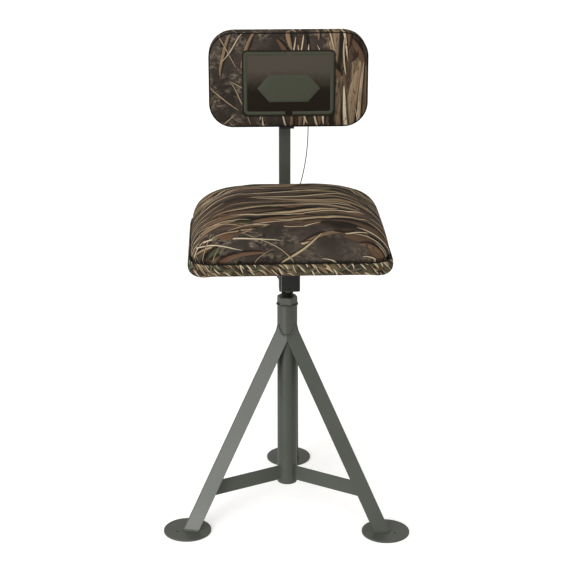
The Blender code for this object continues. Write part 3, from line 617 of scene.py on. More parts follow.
def cloth_place(n, wander, wander_size):
    """Where a point lies on the flat cloth, plain and with a slow wander that bends the blades."""
    flat = n.flat_cloth()
    drift = n.add("TexNoise", {"Vector": flat, "Scale": wander_size, "Detail": 1.0}).outputs["Color"]
    centred = n.add("VectorMath", {0: drift, 1: (0.5, 0.5, 0.5)}, operation="SUBTRACT").outputs[0]
    amount = n.scaled(centred, (wander, wander, 0.0))
    return flat, n.add("VectorMath", {0: flat, 1: amount}, operation="ADD").outputs[0]


def bark(n, flat, under, region, size=1.0):
    """Mottled bark and lichen, printed where the region says: pale crusts, dark cracks, soft blots."""
    rough = n.noise(n.scaled(flat, (1.0, 1.4, 1.0)), 70.0 * size, 6.0, 0.7)
    blotch = n.noise(flat, 17.0 * size, 2.0)
    crust = n.times(n.step(rough, 0.47, 0.60), n.step(blotch, 0.46, 0.58))
    crack = n.times(n.step(rough, 0.47, 0.38), n.step(blotch, 0.38, 0.52))
    soft = n.step(n.noise(n.scaled(flat, (1.0, 0.45, 1.0)), 34.0 * size, 3.0), 0.45, 0.66)
    colour = n.mix(n.times(soft, region, 0.55), under, (0.076, 0.060, 0.047))
    colour = n.mix(n.times(crust, region, 0.85), colour, (0.215, 0.178, 0.132))
    return n.mix(n.times(crack, region, 0.80), colour, SHADE)


def cracked(n, flat, under, region):
    """Dark broken cracks that run up broad stalks, as on dry bark."""
    grain = n.noise(n.scaled(flat, (1.0, 0.30, 1.0)), 210.0, 4.0, 0.65)
    patch = n.noise(flat, 30.0, 2.0)
    share = n.times(n.step(grain, 0.55, 0.62), n.step(patch, 0.42, 0.56))
    return n.mix(n.times(share, region, 0.85), under, SHADE)


def finish_cloth(n, flat, colour):
    """Knit loops in the print and in the relief, and soft irregular handle of the stretch cloth."""
    stitch_width, stitch_height = 0.0011, 0.0014
    parts = n.parts(flat)
    knit = n.times(n.wave(parts[0], stitch_width), n.wave(parts[1], stitch_height))
    shade = n.step(knit, -1.0, 1.0, 0.0, 0.12)
    n.set("Base Color", n.mix(shade, colour, (0.01, 0.008, 0.007)))
    relief = n.bump(knit, 0.00012, 0.5)
    n.relief(n.noise(flat, 60.0, 3.0), 0.0008, 0.18, relief)


def camo_seat():
    """Seat print: long reeds that sweep across the top, over a dark front with bark and a few straws."""
    n = Material("camo_seat", Roughness=0.88, Specular_IOR_Level=0.15)
    flat, place = cloth_place(n, 0.030, 6.0)
    parts = n.parts(flat)
    blotch = n.noise(flat, 9.0, 3.0)
    wavy = n.plus(parts[1], n.times(n.minus(blotch, 0.5), 0.20))
    wavy = n.plus(wavy, n.times(n.math("MAXIMUM", parts[0], 0.0), 0.20))
    top = n.step(wavy, -0.190, -0.150)
    front = n.minus(1.0, top)
    sides = n.step(n.math("ABSOLUTE", parts[0]), 0.14, 0.19)
    regions = {"top": n.math("MAXIMUM", top, sides), "front": front}
    regions["edge"] = n.times(top, n.step(wavy, -0.090, -0.120))
    regions["left"] = n.times(front, n.step(parts[0], 0.04, -0.08))
    streaks = n.noise(n.vector(n.times(parts[0], 7.0), n.times(parts[1], 75.0)), 1.0, 5.0, 0.6)
    colour = n.varied(blotch, (0.038, 0.029, 0.023), (0.072, 0.058, 0.047), 0.35, 0.65)
    dry = n.varied(parts[1], BROWN, TAN, 0.00, 0.14)
    colour = n.mix(n.times(n.step(streaks, 0.44, 0.60), regions["top"]), colour, dry)
    colour = bark(n, flat, colour, n.plus(n.times(front, 0.45), n.times(regions["left"], 0.55)))
    layers = (
        (1, 0.042, 0.40, 0.80, 0.70, 0.4, UMBER, BROWN, "top"),
        (-5, 0.034, 0.26, 0.75, 0.40, 0.5, SHADE, OLIVE, "top"),
        (6, 0.036, 0.14, 0.70, 0.28, 0.5, RUST, BROWN, "top"),
        (-3, 0.030, 0.34, 0.52, 0.60, 0.5, UMBER, TAN, "top"),
        (-8, 0.034, 0.22, 0.80, 0.60, 0.4, RUST, STALK, "edge"),
        (3, 0.038, 0.18, 0.62, 0.40, 0.5, SHADE, UMBER, "top"),
        (-14, 0.046, 0.20, 0.42, 0.26, 0.5, RUST, STALK, "front"),
        (-4, 0.028, 0.30, 0.34, 0.60, 0.6, BROWN, STRAW, "top"),
        (9, 0.032, 0.26, 0.28, 0.55, 0.6, TAN, STRAW, "top"),
        (-8, 0.034, 0.32, 0.20, 0.62, 0.7, STRAW, CREAM, "top"),
        (2, 0.020, 0.24, 0.24, 0.40, 0.7, TAN, CREAM, "top"),
        (60, 0.030, 0.13, 0.16, 0.45, 0.5, BROWN, STRAW, "left"),
        (-26, 0.050, 0.20, 0.12, 0.40, 0.4, TAN, STRAW, "front"),
        (30, 0.046, 0.26, 0.10, 0.60, 0.3, TAN, CREAM, "front"),
        (-12, 0.034, 0.24, 0.16, 0.80, 0.5, TAN, CREAM, "edge"),
        (-58, 0.034, 0.12, 0.12, 0.60, 0.5, TAN, STRAW, "left"),
        (16, 0.048, 0.32, 0.12, 0.60, 0.3, STRAW, CREAM, "front"),
    )
    colour = lay_reeds(n, colour, place, layers, regions)
    finish_cloth(n, flat, colour)
    return n.made


def camo_back():
    """Backrest print: dark left with a few crossed straws, reeds on top, broad stalks at right."""
    n = Material("camo_back", Roughness=0.88, Specular_IOR_Level=0.15)
    flat, place = cloth_place(n, 0.020, 8.0)
    parts = n.parts(flat)
    blotch = n.noise(flat, 11.0, 3.0)
    wavy = n.plus(parts[0], n.times(n.minus(blotch, 0.5), 0.05))
    regions = {"right": n.step(wavy, 0.074, 0.094), "left": n.step(wavy, -0.05, -0.08)}
    regions["middle"] = n.minus(n.minus(1.0, regions["right"]), regions["left"], clamp=True)
    colour = n.varied(blotch, CHARCOAL, (0.062, 0.045, 0.037), 0.35, 0.65)
    stalks = n.noise(n.vector(n.times(parts[0], 85.0), n.times(parts[1], 7.0)), 1.0, 4.0, 0.6)
    dry = n.varied(stalks, UMBER, STALK, 0.42, 0.58)
    dry = n.varied(stalks, dry, STRAW, 0.56, 0.68)
    colour = n.mix(n.times(regions["right"], 0.9), colour, dry)
    colour = bark(n, flat, colour, n.minus(0.8, n.times(regions["right"], 0.6)), 1.3)
    layers = (
        (92, 0.050, 0.44, 0.95, 1.00, 0.25, UMBER, BROWN, "right"),
        (84, 0.030, 0.20, 0.80, 0.50, 0.4, CHARCOAL, UMBER, "middle"),
        (95, 0.046, 0.40, 0.75, 0.90, 0.3, STALK, STRAW, "right"),
        (60, 0.034, 0.12, 0.60, 0.32, 0.5, RUST, BROWN, None),
        (98, 0.036, 0.34, 0.50, 0.70, 0.35, RUST, STALK, "right"),
        (88, 0.030, 0.26, 0.36, 0.70, 0.4, TAN, CREAM, "right"),
        (94, 0.020, 0.10, 0.60, 0.55, 0.5, RUST, TAN, "middle"),
        (112, 0.040, 0.14, 0.22, 0.45, 0.5, UMBER, TAN, "left"),
    )
    colour = lay_reeds(n, colour, place, layers, regions)
    colour = cracked(n, flat, colour, regions["right"])
    layers = (
        (104, 0.016, 0.09, 0.36, 0.50, 0.5, TAN, CREAM, "middle"),
        (84, 0.022, 0.10, 0.26, 0.45, 0.6, TAN, CREAM, "middle"),
        (58, 0.036, 0.15, 0.11, 0.60, 0.4, TAN, STRAW, "left"),
        (128, 0.040, 0.13, 0.12, 0.55, 0.4, TAN, CREAM, "left"),
        (34, 0.040, 0.13, 0.08, 0.50, 0.3, TAN, STRAW, "left"),
        (84, 0.020, 0.14, 0.20, 0.50, 0.6, STRAW, CREAM, "right"),
        (104, 0.026, 0.16, 0.24, 0.45, 0.6, SHADE, CHARCOAL, "right"),
    )
    colour = lay_reeds(n, colour, place, layers, regions)
    finish_cloth(n, flat, colour)
    return n.made


def camo_band():
    """Band print: a smaller and greener cut of the same reeds, on the slant."""
    n = Material("camo_band", Roughness=0.86, Specular_IOR_Level=0.15)
    flat, place = cloth_place(n, 0.008, 24.0)
    blotch = n.noise(flat, 34.0, 4.0)
    colour = n.varied(blotch, (0.042, 0.036, 0.022), (0.125, 0.102, 0.058), 0.40, 0.60)
    layers = (
        (-20, 0.012, 0.050, 0.90, 0.35, 0.5, MOSS, OLIVE, None),
        (15, 0.014, 0.040, 0.85, 0.30, 0.5, RUST, BROWN, None),
        (-38, 0.011, 0.040, 0.80, 0.45, 0.5, UMBER, TAN, None),
        (-46, 0.009, 0.034, 0.60, 0.40, 0.4, BROWN, STRAW, None),
        (25, 0.012, 0.034, 0.55, 0.24, 0.4, MOSS, STONE, None),
        (-40, 0.008, 0.030, 0.50, 0.50, 0.4, TAN, CREAM, None),
        (-54, 0.012, 0.030, 0.34, 0.40, 0.4, STRAW, CREAM, None),
        (-30, 0.016, 0.050, 0.20, 0.40, 0.6, STRAW, CREAM, None),
    )
    colour = lay_reeds(n, colour, place, layers)
    finish_cloth(n, flat, colour)
    return n.made


NYLON = ((0.52, 0.50, 0.44), (0.64, 0.62, 0.56))
BLACK_PLASTIC = ((0.012, 0.012, 0.012), (0.022, 0.022, 0.022))

FINISHES = {
    "powder_coat": powder_coat(),
    "black_paint": black_paint(),
    "zinc": zinc(),
    "nylon": moulded("nylon", *NYLON, 0.5, 0.0012, 0.0001),
    "black_plastic": moulded("black_plastic", *BLACK_PLASTIC, 0.5, 0.0006, 0.0002),
    "camo_cloth": camo_seat(),
    "camo_band": camo_band(),
    "foam": foam(),
    "plywood": plywood(),
    "badge": thread_cloth("badge", (0.030, 0.026, 0.018), (0.055, 0.048, 0.036), 0.0009),
    "cable": coated_cable(),
    "dark_steel": dark_steel(),
}
CAMO_BACK = camo_back()
WELT = thread_cloth("welt", (0.007, 0.006, 0.005), (0.016, 0.014, 0.012), 0.0012)


def finish_cad_nodes():
    """Give every CAD node the finish of its slot in the record."""
    for part in frame["record"]["subparts"]:
        slots = frame["nodes"][part["node"]].data.materials
        slots.clear()
        slots.append(FINISHES[part["material_slot"]])


# ---- tether

TETHER_R = 0.0011
TETHER_TWIST_PITCH = 0.018
TETHER_ROUTE = (
    (0.0510, 0.8705), (0.0521, 0.850), (0.0533, 0.826), (0.0536, 0.800), (0.0528, 0.770),
    (0.0504, 0.740), (0.0464, 0.712), (0.0411, 0.686), (0.0355, 0.664), (0.0330, 0.6545),
)


def make_tether():
    """The coated cable between its ferrules, and the loop at each end that goes through an eye."""
    pivot = SEAT.inverted() @ Vector(joints["back_tilt"]["pos_m"])
    path = along_path([Vector((x, pivot.y, z)) for x, z in TETHER_ROUTE], 0.0009)

    def twisted(distance, angle):
        turned = angle - distance * 2 * math.pi / TETHER_TWIST_PITCH
        return TETHER_R * (0.955 + 0.045 * math.cos(6 * turned))

    mesh = ring_mesh("tether_cable", tube_rings(path, twisted, 18))
    mesh.materials.append(FINISHES["cable"])
    mesh.transform(SEAT)
    cable = linked("tether_cable", mesh)
    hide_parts("tether")
    loops = [tether_loop("tether_loop_top", path[0], path[1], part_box("tether_tab"), "back_post")]
    loops.append(tether_loop("tether_loop_low", path[-1], path[-2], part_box("tether_lug"), "seat"))
    line = [SEAT @ point for point in path]
    tuple(line[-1])
    tuple(line[0])
    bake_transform(cable)
    tuple(line[0])
    [tuple(point) for point in line]


def tether_loop(name, end, inner, eye_box, body):
    """A loop of cable from the ferrule, through the eye beyond it and back."""
    ferrule_length = 0.0090
    tail = 0.002
    legs_half_apart = 0.0006
    loop_half_width = 0.0042
    outward = (end - inner).normalized()
    start = end + ferrule_length * outward
    eye_z = (eye_box[0].z + eye_box[1].z) / 2
    flat_eye = eye_box[1].z - eye_box[0].z < 0.006
    reach = abs(eye_z - start.z) + (0.0028 if flat_eye else 0.0016)
    across = Vector((1, 0, 0)) if flat_eye else Vector((0, 1, 0))
    points = [start - legs_half_apart * across - tail * outward]
    for step in range(13):
        angle = math.radians(-90 + 180 * step / 12)
        bow = outward * reach * math.cos(angle) ** 0.8
        points.append(start + bow + across * loop_half_width * math.sin(angle))
    points.append(start + legs_half_apart * across - tail * outward)
    mesh = tube_mesh(name, along_path(points, 0.0012), TETHER_R, 12)
    return add_piece(name, mesh, body, "cable")


# ---- padding

def evaluated(thing):
    return thing.evaluated_get(bpy.context.evaluated_depsgraph_get())


def remeshed(mesh, voxel):
    """The mesh as even quads, through a voxel remesh."""
    scratch = linked("scratch", mesh)
    modifier = scratch.modifiers.new("remesh", "REMESH")
    modifier.mode = "VOXEL"
    modifier.voxel_size = voxel
    even = bpy.data.meshes.new_from_object(evaluated(scratch))
    bpy.data.objects.remove(scratch)
    return even


def swell(mesh, pressure, cap, is_sewn):
    """Blow the padding up as cloth, held where it is sewn down, no point further than the cap."""
    scratch = linked("scratch", mesh)
    held = scratch.vertex_groups.new(name="held")
    held.add([vertex.index for vertex in mesh.vertices if is_sewn(vertex.co)], 1.0, "REPLACE")
    cloth = scratch.modifiers.new("cloth", "CLOTH")
    settings = cloth.settings
    settings.quality = 5
    settings.mass = 0.3
    settings.tension_stiffness = 18
    settings.compression_stiffness = 18
    settings.shear_stiffness = 8
    settings.bending_stiffness = 0.6
    settings.use_pressure = True
    settings.uniform_pressure_force = pressure
    settings.vertex_group_mass = "held"
    settings.effector_weights.gravity = 0
    last_frame = 20
    cloth.point_cache.frame_start = 1
    cloth.point_cache.frame_end = last_frame
    for number in range(1, last_frame + 1):
        bpy.context.scene.frame_set(number)
    for vertex, target in zip(mesh.vertices, evaluated(scratch).to_mesh().vertices):
        move = target.co - vertex.co
        if move.length > cap:
            move *= cap / move.length
        vertex.co += move
    bpy.data.objects.remove(scratch)
    bpy.context.scene.frame_set(1)


def smoothed(mesh, rounds, divide):
    """Relax the mesh a little and divide each face."""
    scratch = linked("scratch", mesh)
    relax = scratch.modifiers.new("relax", "SMOOTH")
    relax.factor = 0.5
    relax.iterations = rounds
    scratch.modifiers.new("divide", "SUBSURF").levels = divide
    fine = bpy.data.meshes.new_from_object(evaluated(scratch))
    bpy.data.objects.remove(scratch)
    fine.polygons.foreach_set("use_smooth", [True] * len(fine.polygons))
    return fine


def lay_cloth(mesh, flats):
    """Store where each point lies on the flat cloth, which the prints read."""
    attribute = mesh.attributes.new("cloth", "FLOAT_VECTOR", "POINT")
    for item, flat in zip(attribute.data, flats):
        item.vector = flat


def wrapped(x, y, drop, half_x, half_y):
    """Flat place of a point on a box-like pad: what falls away over an edge is laid out beyond it."""
    lean_x = abs(x / half_x) ** 4
    lean_y = abs(y / half_y) ** 4
    share = lean_x / max(lean_x + lean_y, 1e-9)
    return (x + math.copysign(share * drop, x), y + math.copysign((1 - share) * drop, y), 0.0)


SEAT_CORNER = 0.048
SEAT_SHOULDER = (0.090, 0.074)
SHOULDER_CORNER_GROWTH = 0.012


def loaf_rings(low, base, top, half_x, half_y, centre):
    """Rings of the seat's loaf: a short straight side, then a round shoulder up to a flat top."""
    def ring(x, y, corner, z):
        return [Vector((*place, z)) for place in outline(x, y, corner, 240, centre)]

    rings = []
    for share in (0.15, 0.5, 0.85, 1.0):
        rings.append(ring(half_x * share, half_y * share, SEAT_CORNER * share, low))
    steps = 22
    for step in range(steps + 1):
        angle = math.radians(90) * step / steps
        pulled = 1 - math.cos(angle)
        x = half_x - SEAT_SHOULDER[0] * pulled
        y = half_y - SEAT_SHOULDER[1] * pulled
        corner = SEAT_CORNER + SHOULDER_CORNER_GROWTH * pulled
        rings.append(ring(x, y, corner, base + (top - base) * math.sin(angle)))
    flat_x, flat_y = half_x - SEAT_SHOULDER[0], half_y - SEAT_SHOULDER[1]
    crown = 0.0006
    for share in (0.8, 0.55, 0.3, 0.1):
        corner = (SEAT_CORNER + SHOULDER_CORNER_GROWTH) * share
        rings.append(ring(flat_x * share, flat_y * share, corner, top + crown))
    return rings


def make_seat_cushion():
    """The seat's crowned cushion: foam under a stretched cover that is sewn to the band."""
    low, high = seat_box("seat_cover")
    foam_low = seat_box("seat_foam")[0].z
    centre = ((low.x + high.x) / 2, (low.y + high.y) / 2)
    half_x, half_y = (high.x - low.x) / 2, (high.y - low.y) / 2
    slack = 0.0020
    rings = loaf_rings(foam_low, low.z, high.z - slack, half_x - slack, half_y - slack, centre)
    mesh = remeshed(ring_mesh("seat_cushion", rings), 0.005)
    swell(mesh, 4.0, 0.006, lambda point: point.z < low.z + 0.002)
    mesh = smoothed(mesh, 4, 1)
    tuck_depth = 0.0030
    tuck_height = 0.0055
    for vertex in mesh.vertices:
        above = (vertex.co.z - low.z) / tuck_height
        if above < 1.2:
            x, y = vertex.co.x - centre[0], vertex.co.y - centre[1]
            pull = tuck_depth * math.exp(-max(above, 0.0) ** 2 * 2.2)
            vertex.co.x -= pull * x / half_x
            vertex.co.y -= pull * y / half_y
    flats = []
    for vertex in mesh.vertices:
        x, y = vertex.co.x - centre[0], vertex.co.y - centre[1]
        flats.append(wrapped(x, y, max(high.z - vertex.co.z, 0), half_x, half_y))
    lay_cloth(mesh, flats)
    cushion = add_piece("seat_cushion", mesh, "seat", "camo_cloth")
    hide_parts("seat_cover", "seat_foam")
    return centre, low.z


# The band's section: how far out, how high as a share of the band, and how far along the cloth.
BAND_SECTION = (
    (-0.0075, 0.985, 0.000), (-0.0045, 0.990, 0.003), (-0.0022, 0.955, 0.006), (-0.0008, 0.860, 0.009),
    (0.0004, 0.680, 0.013), (0.0009, 0.480, 0.018), (0.0006, 0.280, 0.023), (-0.0006, 0.120, 0.027),
    (-0.0030, 0.015, 0.031), (-0.0065, -0.045, 0.035), (-0.0110, -0.070, 0.039), (-0.0165, -0.080, 0.045),
    (-0.0220, -0.075, 0.051), (-0.0250, -0.055, 0.054), (-0.0225, -0.035, 0.057), (-0.0100, -0.020, 0.064),
)


def make_seat_band(centre, seam_z):
    """The band round the seat's lower edge: it rolls outward below the seam, then turns under."""
    low, high = seat_box("seat_band")
    height = high.z - low.z
    stations = perimeter((high.x - low.x) / 2, (high.y - low.y) / 2, SEAT_CORNER, 0.003, centre)
    pucker_pitch = 0.0085
    welt_in = 0.0036
    rings, flats, welt = [], [], []
    for place, way, distance, bend in stations:
        deeper = 0.0032 * bend
        pucker = 0.0005 * bend * math.sin(distance * 2 * math.pi / pucker_pitch)
        ring = []
        for out, share, along in BAND_SECTION:
            z = low.z + share * height - deeper * (1 - share)
            spread = out + pucker * (1 - share)
            ring.append(Vector((place.x + way.x * spread, place.y + way.y * spread, z)))
            flats.append((distance, along, 0.0))
        rings.append(ring)
        welt.append(Vector((place.x - way.x * welt_in, place.y - way.y * welt_in, seam_z + 0.0002)))
    mesh = ring_mesh("seat_band_roll", rings, round_path=True)
    lay_cloth(mesh, flats)
    band = add_piece("seat_band_roll", smoothed(mesh, 0, 1), "seat", "camo_band")
    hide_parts("seat_band")
    welt_mesh = tube_mesh("seat_welt", welt, 0.0015, 10, closed=True)
    add_piece("seat_welt", welt_mesh, "seat", "camo_band", WELT)


def make_backrest_cushion():
    """The padded backrest: a crowned front panel, a boxing strip round it, and the seam between."""
    low, high = seat_box("backrest_cover")
    centre = Vector(((low.x + high.x) / 2, 0, (low.z + high.z) / 2))
    half_x, half_z = (high.x - low.x) / 2, (high.z - low.z) / 2
    low_edge_rise = 0.002
    centre.z += low_edge_rise / 2
    half_z -= low_edge_rise / 2
    corner = 0.052
    slack = 0.0004
    front, rear = low.y + slack, high.y
    round_r = 0.0065

    def ring(inset, y):
        bend = max(corner - slack - inset, 0.004)
        places = outline(half_x - slack - inset, half_z - slack - inset, bend, 200)
        return [Vector((place.x + centre.x, y, place.y + centre.z)) for place in places]

    rings = [ring(half_z * share, rear) for share in (0.85, 0.5, 0.15)]
    rings += [ring(0, y) for y in (rear, rear - 0.012, rear - 0.024, front + 0.016)]
    for step in range(7):
        angle = math.radians(90) * step / 6
        rings.append(ring(round_r * (1 - math.cos(angle)), front + round_r * (1 - math.sin(angle))))
    rings += [ring(half_z * share, front - 0.0002) for share in (0.2, 0.4, 0.6, 0.85)]
    mesh = remeshed(ring_mesh("backrest_cushion", rings), 0.004)
    board_front = seat_box("backrest_board")[0].y
    seam_y = front + 0.0050

    def near_edge(point, width):
        """Whether a point lies this close to the backrest's outline, seen from the front."""
        x = half_x - abs(point.x - centre.x)
        z = half_z - abs(point.z - centre.z)
        in_corner = max(x, z) < corner
        return min(x, z) < width or (in_corner and math.hypot(corner - x, corner - z) > corner - width)

    def is_sewn(point):
        on_seam = near_edge(point, 0.006) and abs(point.y - seam_y) < 0.0026
        return on_seam or point.y > board_front - 0.002

    swell(mesh, 4.0, 0.0045, is_sewn)
    mesh = smoothed(mesh, 2, 1)
    groove_depth, groove_half = 0.0013, 0.0020
    flats = []
    for vertex in mesh.vertices:
        across = Vector((vertex.co.x - centre.x, 0, vertex.co.z - centre.z))
        off_seam = (vertex.co.y - seam_y) / groove_half
        if abs(off_seam) < 2 and near_edge(vertex.co, 0.012):
            vertex.co -= groove_depth * math.exp(-off_seam**2) * across.normalized()
        x, z = vertex.co.x - centre.x, vertex.co.z - centre.z
        if vertex.co.y > rear - 0.001:
            flats.append((-x, z, 0.0))  # the rear panel is a piece of its own
        else:
            flats.append(wrapped(x, z, max(vertex.co.y - front, 0), half_x, half_z))
    lay_cloth(mesh, flats)
    cushion = add_piece("backrest_cushion", mesh, "backrest", "camo_cloth", CAMO_BACK)
    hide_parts("backrest_cover", "backrest_foam", "backrest_board")
    sunk = slack + 0.0010
    stations = perimeter(half_x - sunk, half_z - sunk, corner - sunk, 0.003, (centre.x, centre.z))
    seam = [Vector((place.x, seam_y, place.y)) for place, *rest in stations]
    seam_mesh = tube_mesh("backrest_seam", seam, 0.0012, 8, closed=True)
    add_piece("backrest_seam", seam_mesh, "backrest", "camo_cloth", WELT)


# ---- badge

def make_badge():
    """A plain sewn patch: woven ground, raised border in two halves, and a plain lozenge."""
    low, high = seat_box("badge_patch")
    centre = (low + high) / 2
    half_x, half_z = (high.x - low.x) / 2, (high.z - low.z) / 2
    front = low.y

    def place(x, z, lift):
        """A point on the patch, whose middle stands out as the padding under it does."""
        crown = 0.0030 * (1 - (x / half_x) ** 2) * (1 - (z / half_z) ** 2)
        return Vector((centre.x + x, front - crown - lift, centre.z + z))

    def rim_path(inset, corner):
        stations = perimeter(half_x - inset, half_z - inset, corner, 0.0015)
        return [place(*point, 0.0006) for point, *rest in stations]

    # painted highlight: the ground turns this lighter colour towards its top, standing in for light on the crowned
    # patch's upper part, while its bottom stays dark
    painted_top_light = (0.080, 0.066, 0.052)
    ground = thread_cloth("badge_ground", (0.011, 0.008, 0.004), (0.019, 0.014, 0.008), 0.0009, painted_top_light)
    olive = thread_cloth("badge_thread", (0.050, 0.053, 0.037), (0.082, 0.087, 0.061), 0.0007)
    edge_dark = thread_cloth("badge_edge", (0.012, 0.010, 0.007), (0.028, 0.024, 0.018), 0.0010)

    patch_mesh = ring_mesh("badge_ground", badge_slab(place, half_x - 0.0012, half_z - 0.0012))
    flats = []
    for vertex in patch_mesh.vertices:
        flats.append((vertex.co.x - centre.x, (vertex.co.z - centre.z) / half_z, 0.0))
    lay_cloth(patch_mesh, flats)
    patch = add_piece("badge_ground", patch_mesh, "backrest", "badge", ground)
    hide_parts("badge_patch")
    edge = tube_mesh("badge_edge", rim_path(0.0014, 0.009), 0.0016, 10, closed=True)
    add_piece("badge_edge", edge, "backrest", "badge", edge_dark)

    make_border(rim_path(0.0072, 0.007), centre, olive)
    make_lozenge(place, olive)


def make_border(path, centre, finish):
    """The raised border: flattened cords of thread along the path, with a gap above and below."""
    radius, flatness, gap_half = 0.0039, 0.36, 0.0065
    for side, name in ((-1, "badge_border_left"), (1, "badge_border_right")):
        half = [point for point in path if side * (point.x - centre.x) > gap_half]
        half.sort(key=lambda point: math.atan2(side * (point.x - centre.x), point.z - centre.z))
        rings = tube_rings(half, lambda distance, angle: radius, 12)
        for ring in rings:
            middle = sum(ring, Vector()) / len(ring)
            for point in ring:
                point.y = middle.y + (point.y - middle.y) * flatness
        add_piece(name, ring_mesh(name, rings), "backrest", "badge", finish)


def make_lozenge(place, finish):
    """The plain raised lozenge, a little below the patch's middle."""
    half_wide, half_high, down = 0.066, 0.029, -0.010
    rings = []
    for inset, lift in ((0, -0.001), (0, 0.0016), (0.0008, 0.0022)):
        corners = lozenge(half_wide - 1.6 * inset, half_high - inset)
        rings.append([place(x, z + down, lift) for x, z in corners])
    for share in (0.8, 0.6, 0.4, 0.2):
        corners = lozenge(half_wide, half_high)
        rings.append([place(x * share, z * share + down, 0.0023) for x, z in corners])
    add_piece("badge_lozenge", ring_mesh("badge_lozenge", rings), "backrest", "badge", finish)


def badge_slab(place, half_x, half_z):
    """Rings of the badge's ground, from its hidden rear over a bevelled edge to its middle."""
    corner, lift, behind, edge = 0.008, 0.0010, 0.004, 0.0008
    rings = []
    for extra, height in ((0, -behind), (0, lift - edge), (edge * 0.3, lift - edge * 0.3), (edge, lift)):
        points = outline(half_x - extra, half_z - extra, corner, 160)
        rings.append([place(*point, height) for point in points])
    for share in (0.85, 0.7, 0.5, 0.3, 0.12):
        rings.append([place(point.x * share, point.y * share, lift) for point in points])
    return rings


def lozenge(half_x, half_z):
    """A flat-ended lozenge: six corners, with points along each side."""
    corners = ((1, 0), (0.62, 1), (-0.62, 1), (-1, 0), (-0.62, -1), (0.62, -1))
    points = []
    for start, end in zip(corners, corners[1:] + corners[:1]):
        for step in range(8):
            share = step / 8
            x = start[0] + (end[0] - start[0]) * share
            z = start[1] + (end[1] - start[1]) * share
            points.append((x * half_x, z * half_z))
    return points


# ---- thread and welds

THREAD_PITCH = 0.003175
WASHER_GAP = 0.0003
LEG_AZIMUTHS = {"left": math.radians(210), "right": math.radians(330), "back": math.radians(90)}


def make_thread():
    """The stem with its screw thread, up to the shoulder that carries the seat."""
    low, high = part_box("threaded_stem")
    washer_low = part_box("thrust_washer")[0].z
    crest = (high.x - low.x) / 2
    depth = 0.0017
    root = crest - depth
    journal = crest - 0.0032
    sides = 36

    def plain(z, radius):
        return circle(lambda angle: radius, z, sides)

    def threaded(z):
        def radius_of(angle):
            turn = (z / THREAD_PITCH - angle / (2 * math.pi)) % 1.0
            return crest - depth * min(abs(2 * turn - 1) * 1.35, 1.0)
        return circle(radius_of, z, sides)

    rings = [plain(low.z, root), plain(low.z + 0.002, crest - depth * 0.5)]
    thread_low, thread_high = low.z + 0.0025, washer_low - 0.0015
    rows = round((thread_high - thread_low) / (THREAD_PITCH / 8))
    for row in range(rows + 1):
        rings.append(threaded(thread_low + (thread_high - thread_low) * row / rows))
    shoulder = washer_low - WASHER_GAP
    rings += [plain(washer_low - 0.0012, root), plain(shoulder, root)]
    rings += [plain(shoulder, journal), plain(high.z, journal)]
    mesh = ring_mesh("stem_thread", rings)
    mesh.set_sharp_from_angle(angle=math.radians(50))
    stem = add_piece("stem_thread", mesh, "stem", "dark_steel", matrix=Matrix.Identity(4))
    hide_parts("threaded_stem")


def leg_frame():
    """The legs' lines, read from the leg that stands straight back: heel foot, slope and column."""
    low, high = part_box("leg_back")
    column_low, column_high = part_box("column_tube")
    column_r = (column_high.x - column_low.x) / 2
    foot_out = high.y - COLUMN.y
    lean = math.atan2(foot_out - column_r, high.z - low.z)
    toe = (high.x - low.x) / 2
    return low.z, foot_out, lean, column_r, toe


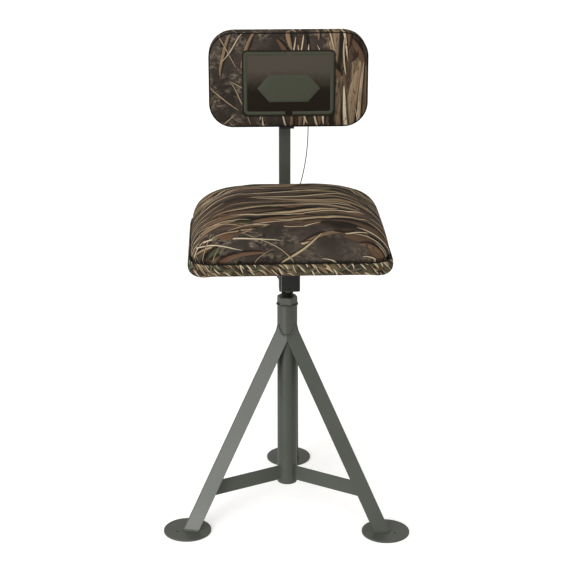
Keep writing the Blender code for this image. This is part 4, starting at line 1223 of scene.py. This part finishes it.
def make_welds():
    """Beads where the tripod's steel meets: nut, legs, braces and feet."""
    foot_z, foot_out, lean, column_r, toe = leg_frame()
    squeeze = 1 / math.cos(lean)
    brace_low, brace_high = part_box("brace_back")
    half_thick = (brace_high.x - brace_low.x) / 2
    nut_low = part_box("column_nut")[0].z
    lift = 0.0006
    both = (("a", 1), ("b", -1))

    def bead(name, path, radius, matrix=Matrix.Identity(4), closed=False):
        mesh = weld_mesh(name, path, radius, closed)
        add_piece(name, mesh, "tripod", "powder_coat", matrix=matrix)

    def at(radius, angle, z):
        """Place at this distance and angle from the column's axis."""
        return radius * math.cos(angle), radius * math.sin(angle), z

    def outer_height(radius, angle):
        """Height of the leg's outer faces above a point at this radius and angle off the leg's line."""
        across = radius * math.sin(abs(angle))
        inward = foot_out - radius * math.cos(angle)
        return foot_z + (inward * math.cos(lean) - across) / math.sin(lean)

    ring = [at(column_r, 2 * math.pi * step / 24, nut_low - lift) for step in range(24)]
    bead("weld_nut", [(COLUMN.x + x, COLUMN.y + y, z) for x, y, z in ring], 0.0020, closed=True)
    for side, azimuth in LEG_AZIMUTHS.items():
        matrix = Matrix.Translation(COLUMN) @ Matrix.Rotation(azimuth, 4, "Z")
        cope = []
        for step in range(-10, 11):
            angle = math.radians(58) * step / 10
            cope.append(at(column_r + lift, angle, outer_height(column_r, angle) + 0.0004))
        bead(f"weld_leg_top_{side}", cope, 0.0023, matrix)
        way = math.radians(60)
        beyond = toe / math.sin(way)
        mitre = []
        for share in (0.0, 0.35, 0.7, 1.0):
            out = column_r + (beyond - column_r) * share
            mitre.append(at(out + 0.0002, way, outer_height(out, way)))
        bead(f"weld_mitre_{side}", mitre, 0.0019, matrix)
        for half, sign in both:
            path = []
            for share in (0.04, 0.2, 0.4, 0.6, 0.8, 0.97):
                out = foot_out + lift - toe * squeeze * share
                path.append((out, sign * (toe * share + lift), foot_z + lift))
            bead(f"weld_foot_{side}_{half}", path, 0.0021, matrix)
        for half, sign in both:
            path = []
            for share in (0, 0.25, 0.5, 0.75, 1):
                z = brace_low.z + 0.001 + (brace_high.z - brace_low.z - 0.002) * share
                path.append((column_r + 0.0004, sign * (half_thick + 0.0004), z))
            bead(f"weld_brace_{side}_{half}", path, 0.0015, matrix)


# ---- floor

def make_floor():
    """A plain pale floor that reaches far past the object."""
    mesh = bpy.data.meshes.new("floor")
    reach = 30.0
    corners = [(-reach, -reach, 0), (reach, -reach, 0), (reach, reach, 0), (-reach, reach, 0)]
    mesh.from_pydata(corners, [], [(0, 1, 2, 3)])
    n = Material("floor", Roughness=0.9, Emission_Color=(1.0, 1.0, 1.0), Emission_Strength=0.42)
    n.set("Base Color", n.mix(n.noise(n.position(), 3.0), (0.86, 0.86, 0.86), (0.90, 0.90, 0.90)))
    mesh.materials.append(n.made)
    floor = linked("floor", mesh)
    floor.location.z = -0.0002
    floor.visible_diffuse = False
    floor.visible_glossy = False


make_camera()
make_tether()
finish_cad_nodes()
make_seat_band(*make_seat_cushion())
make_backrest_cushion()
make_badge()
make_thread()
make_welds()
make_floor()
make_light()
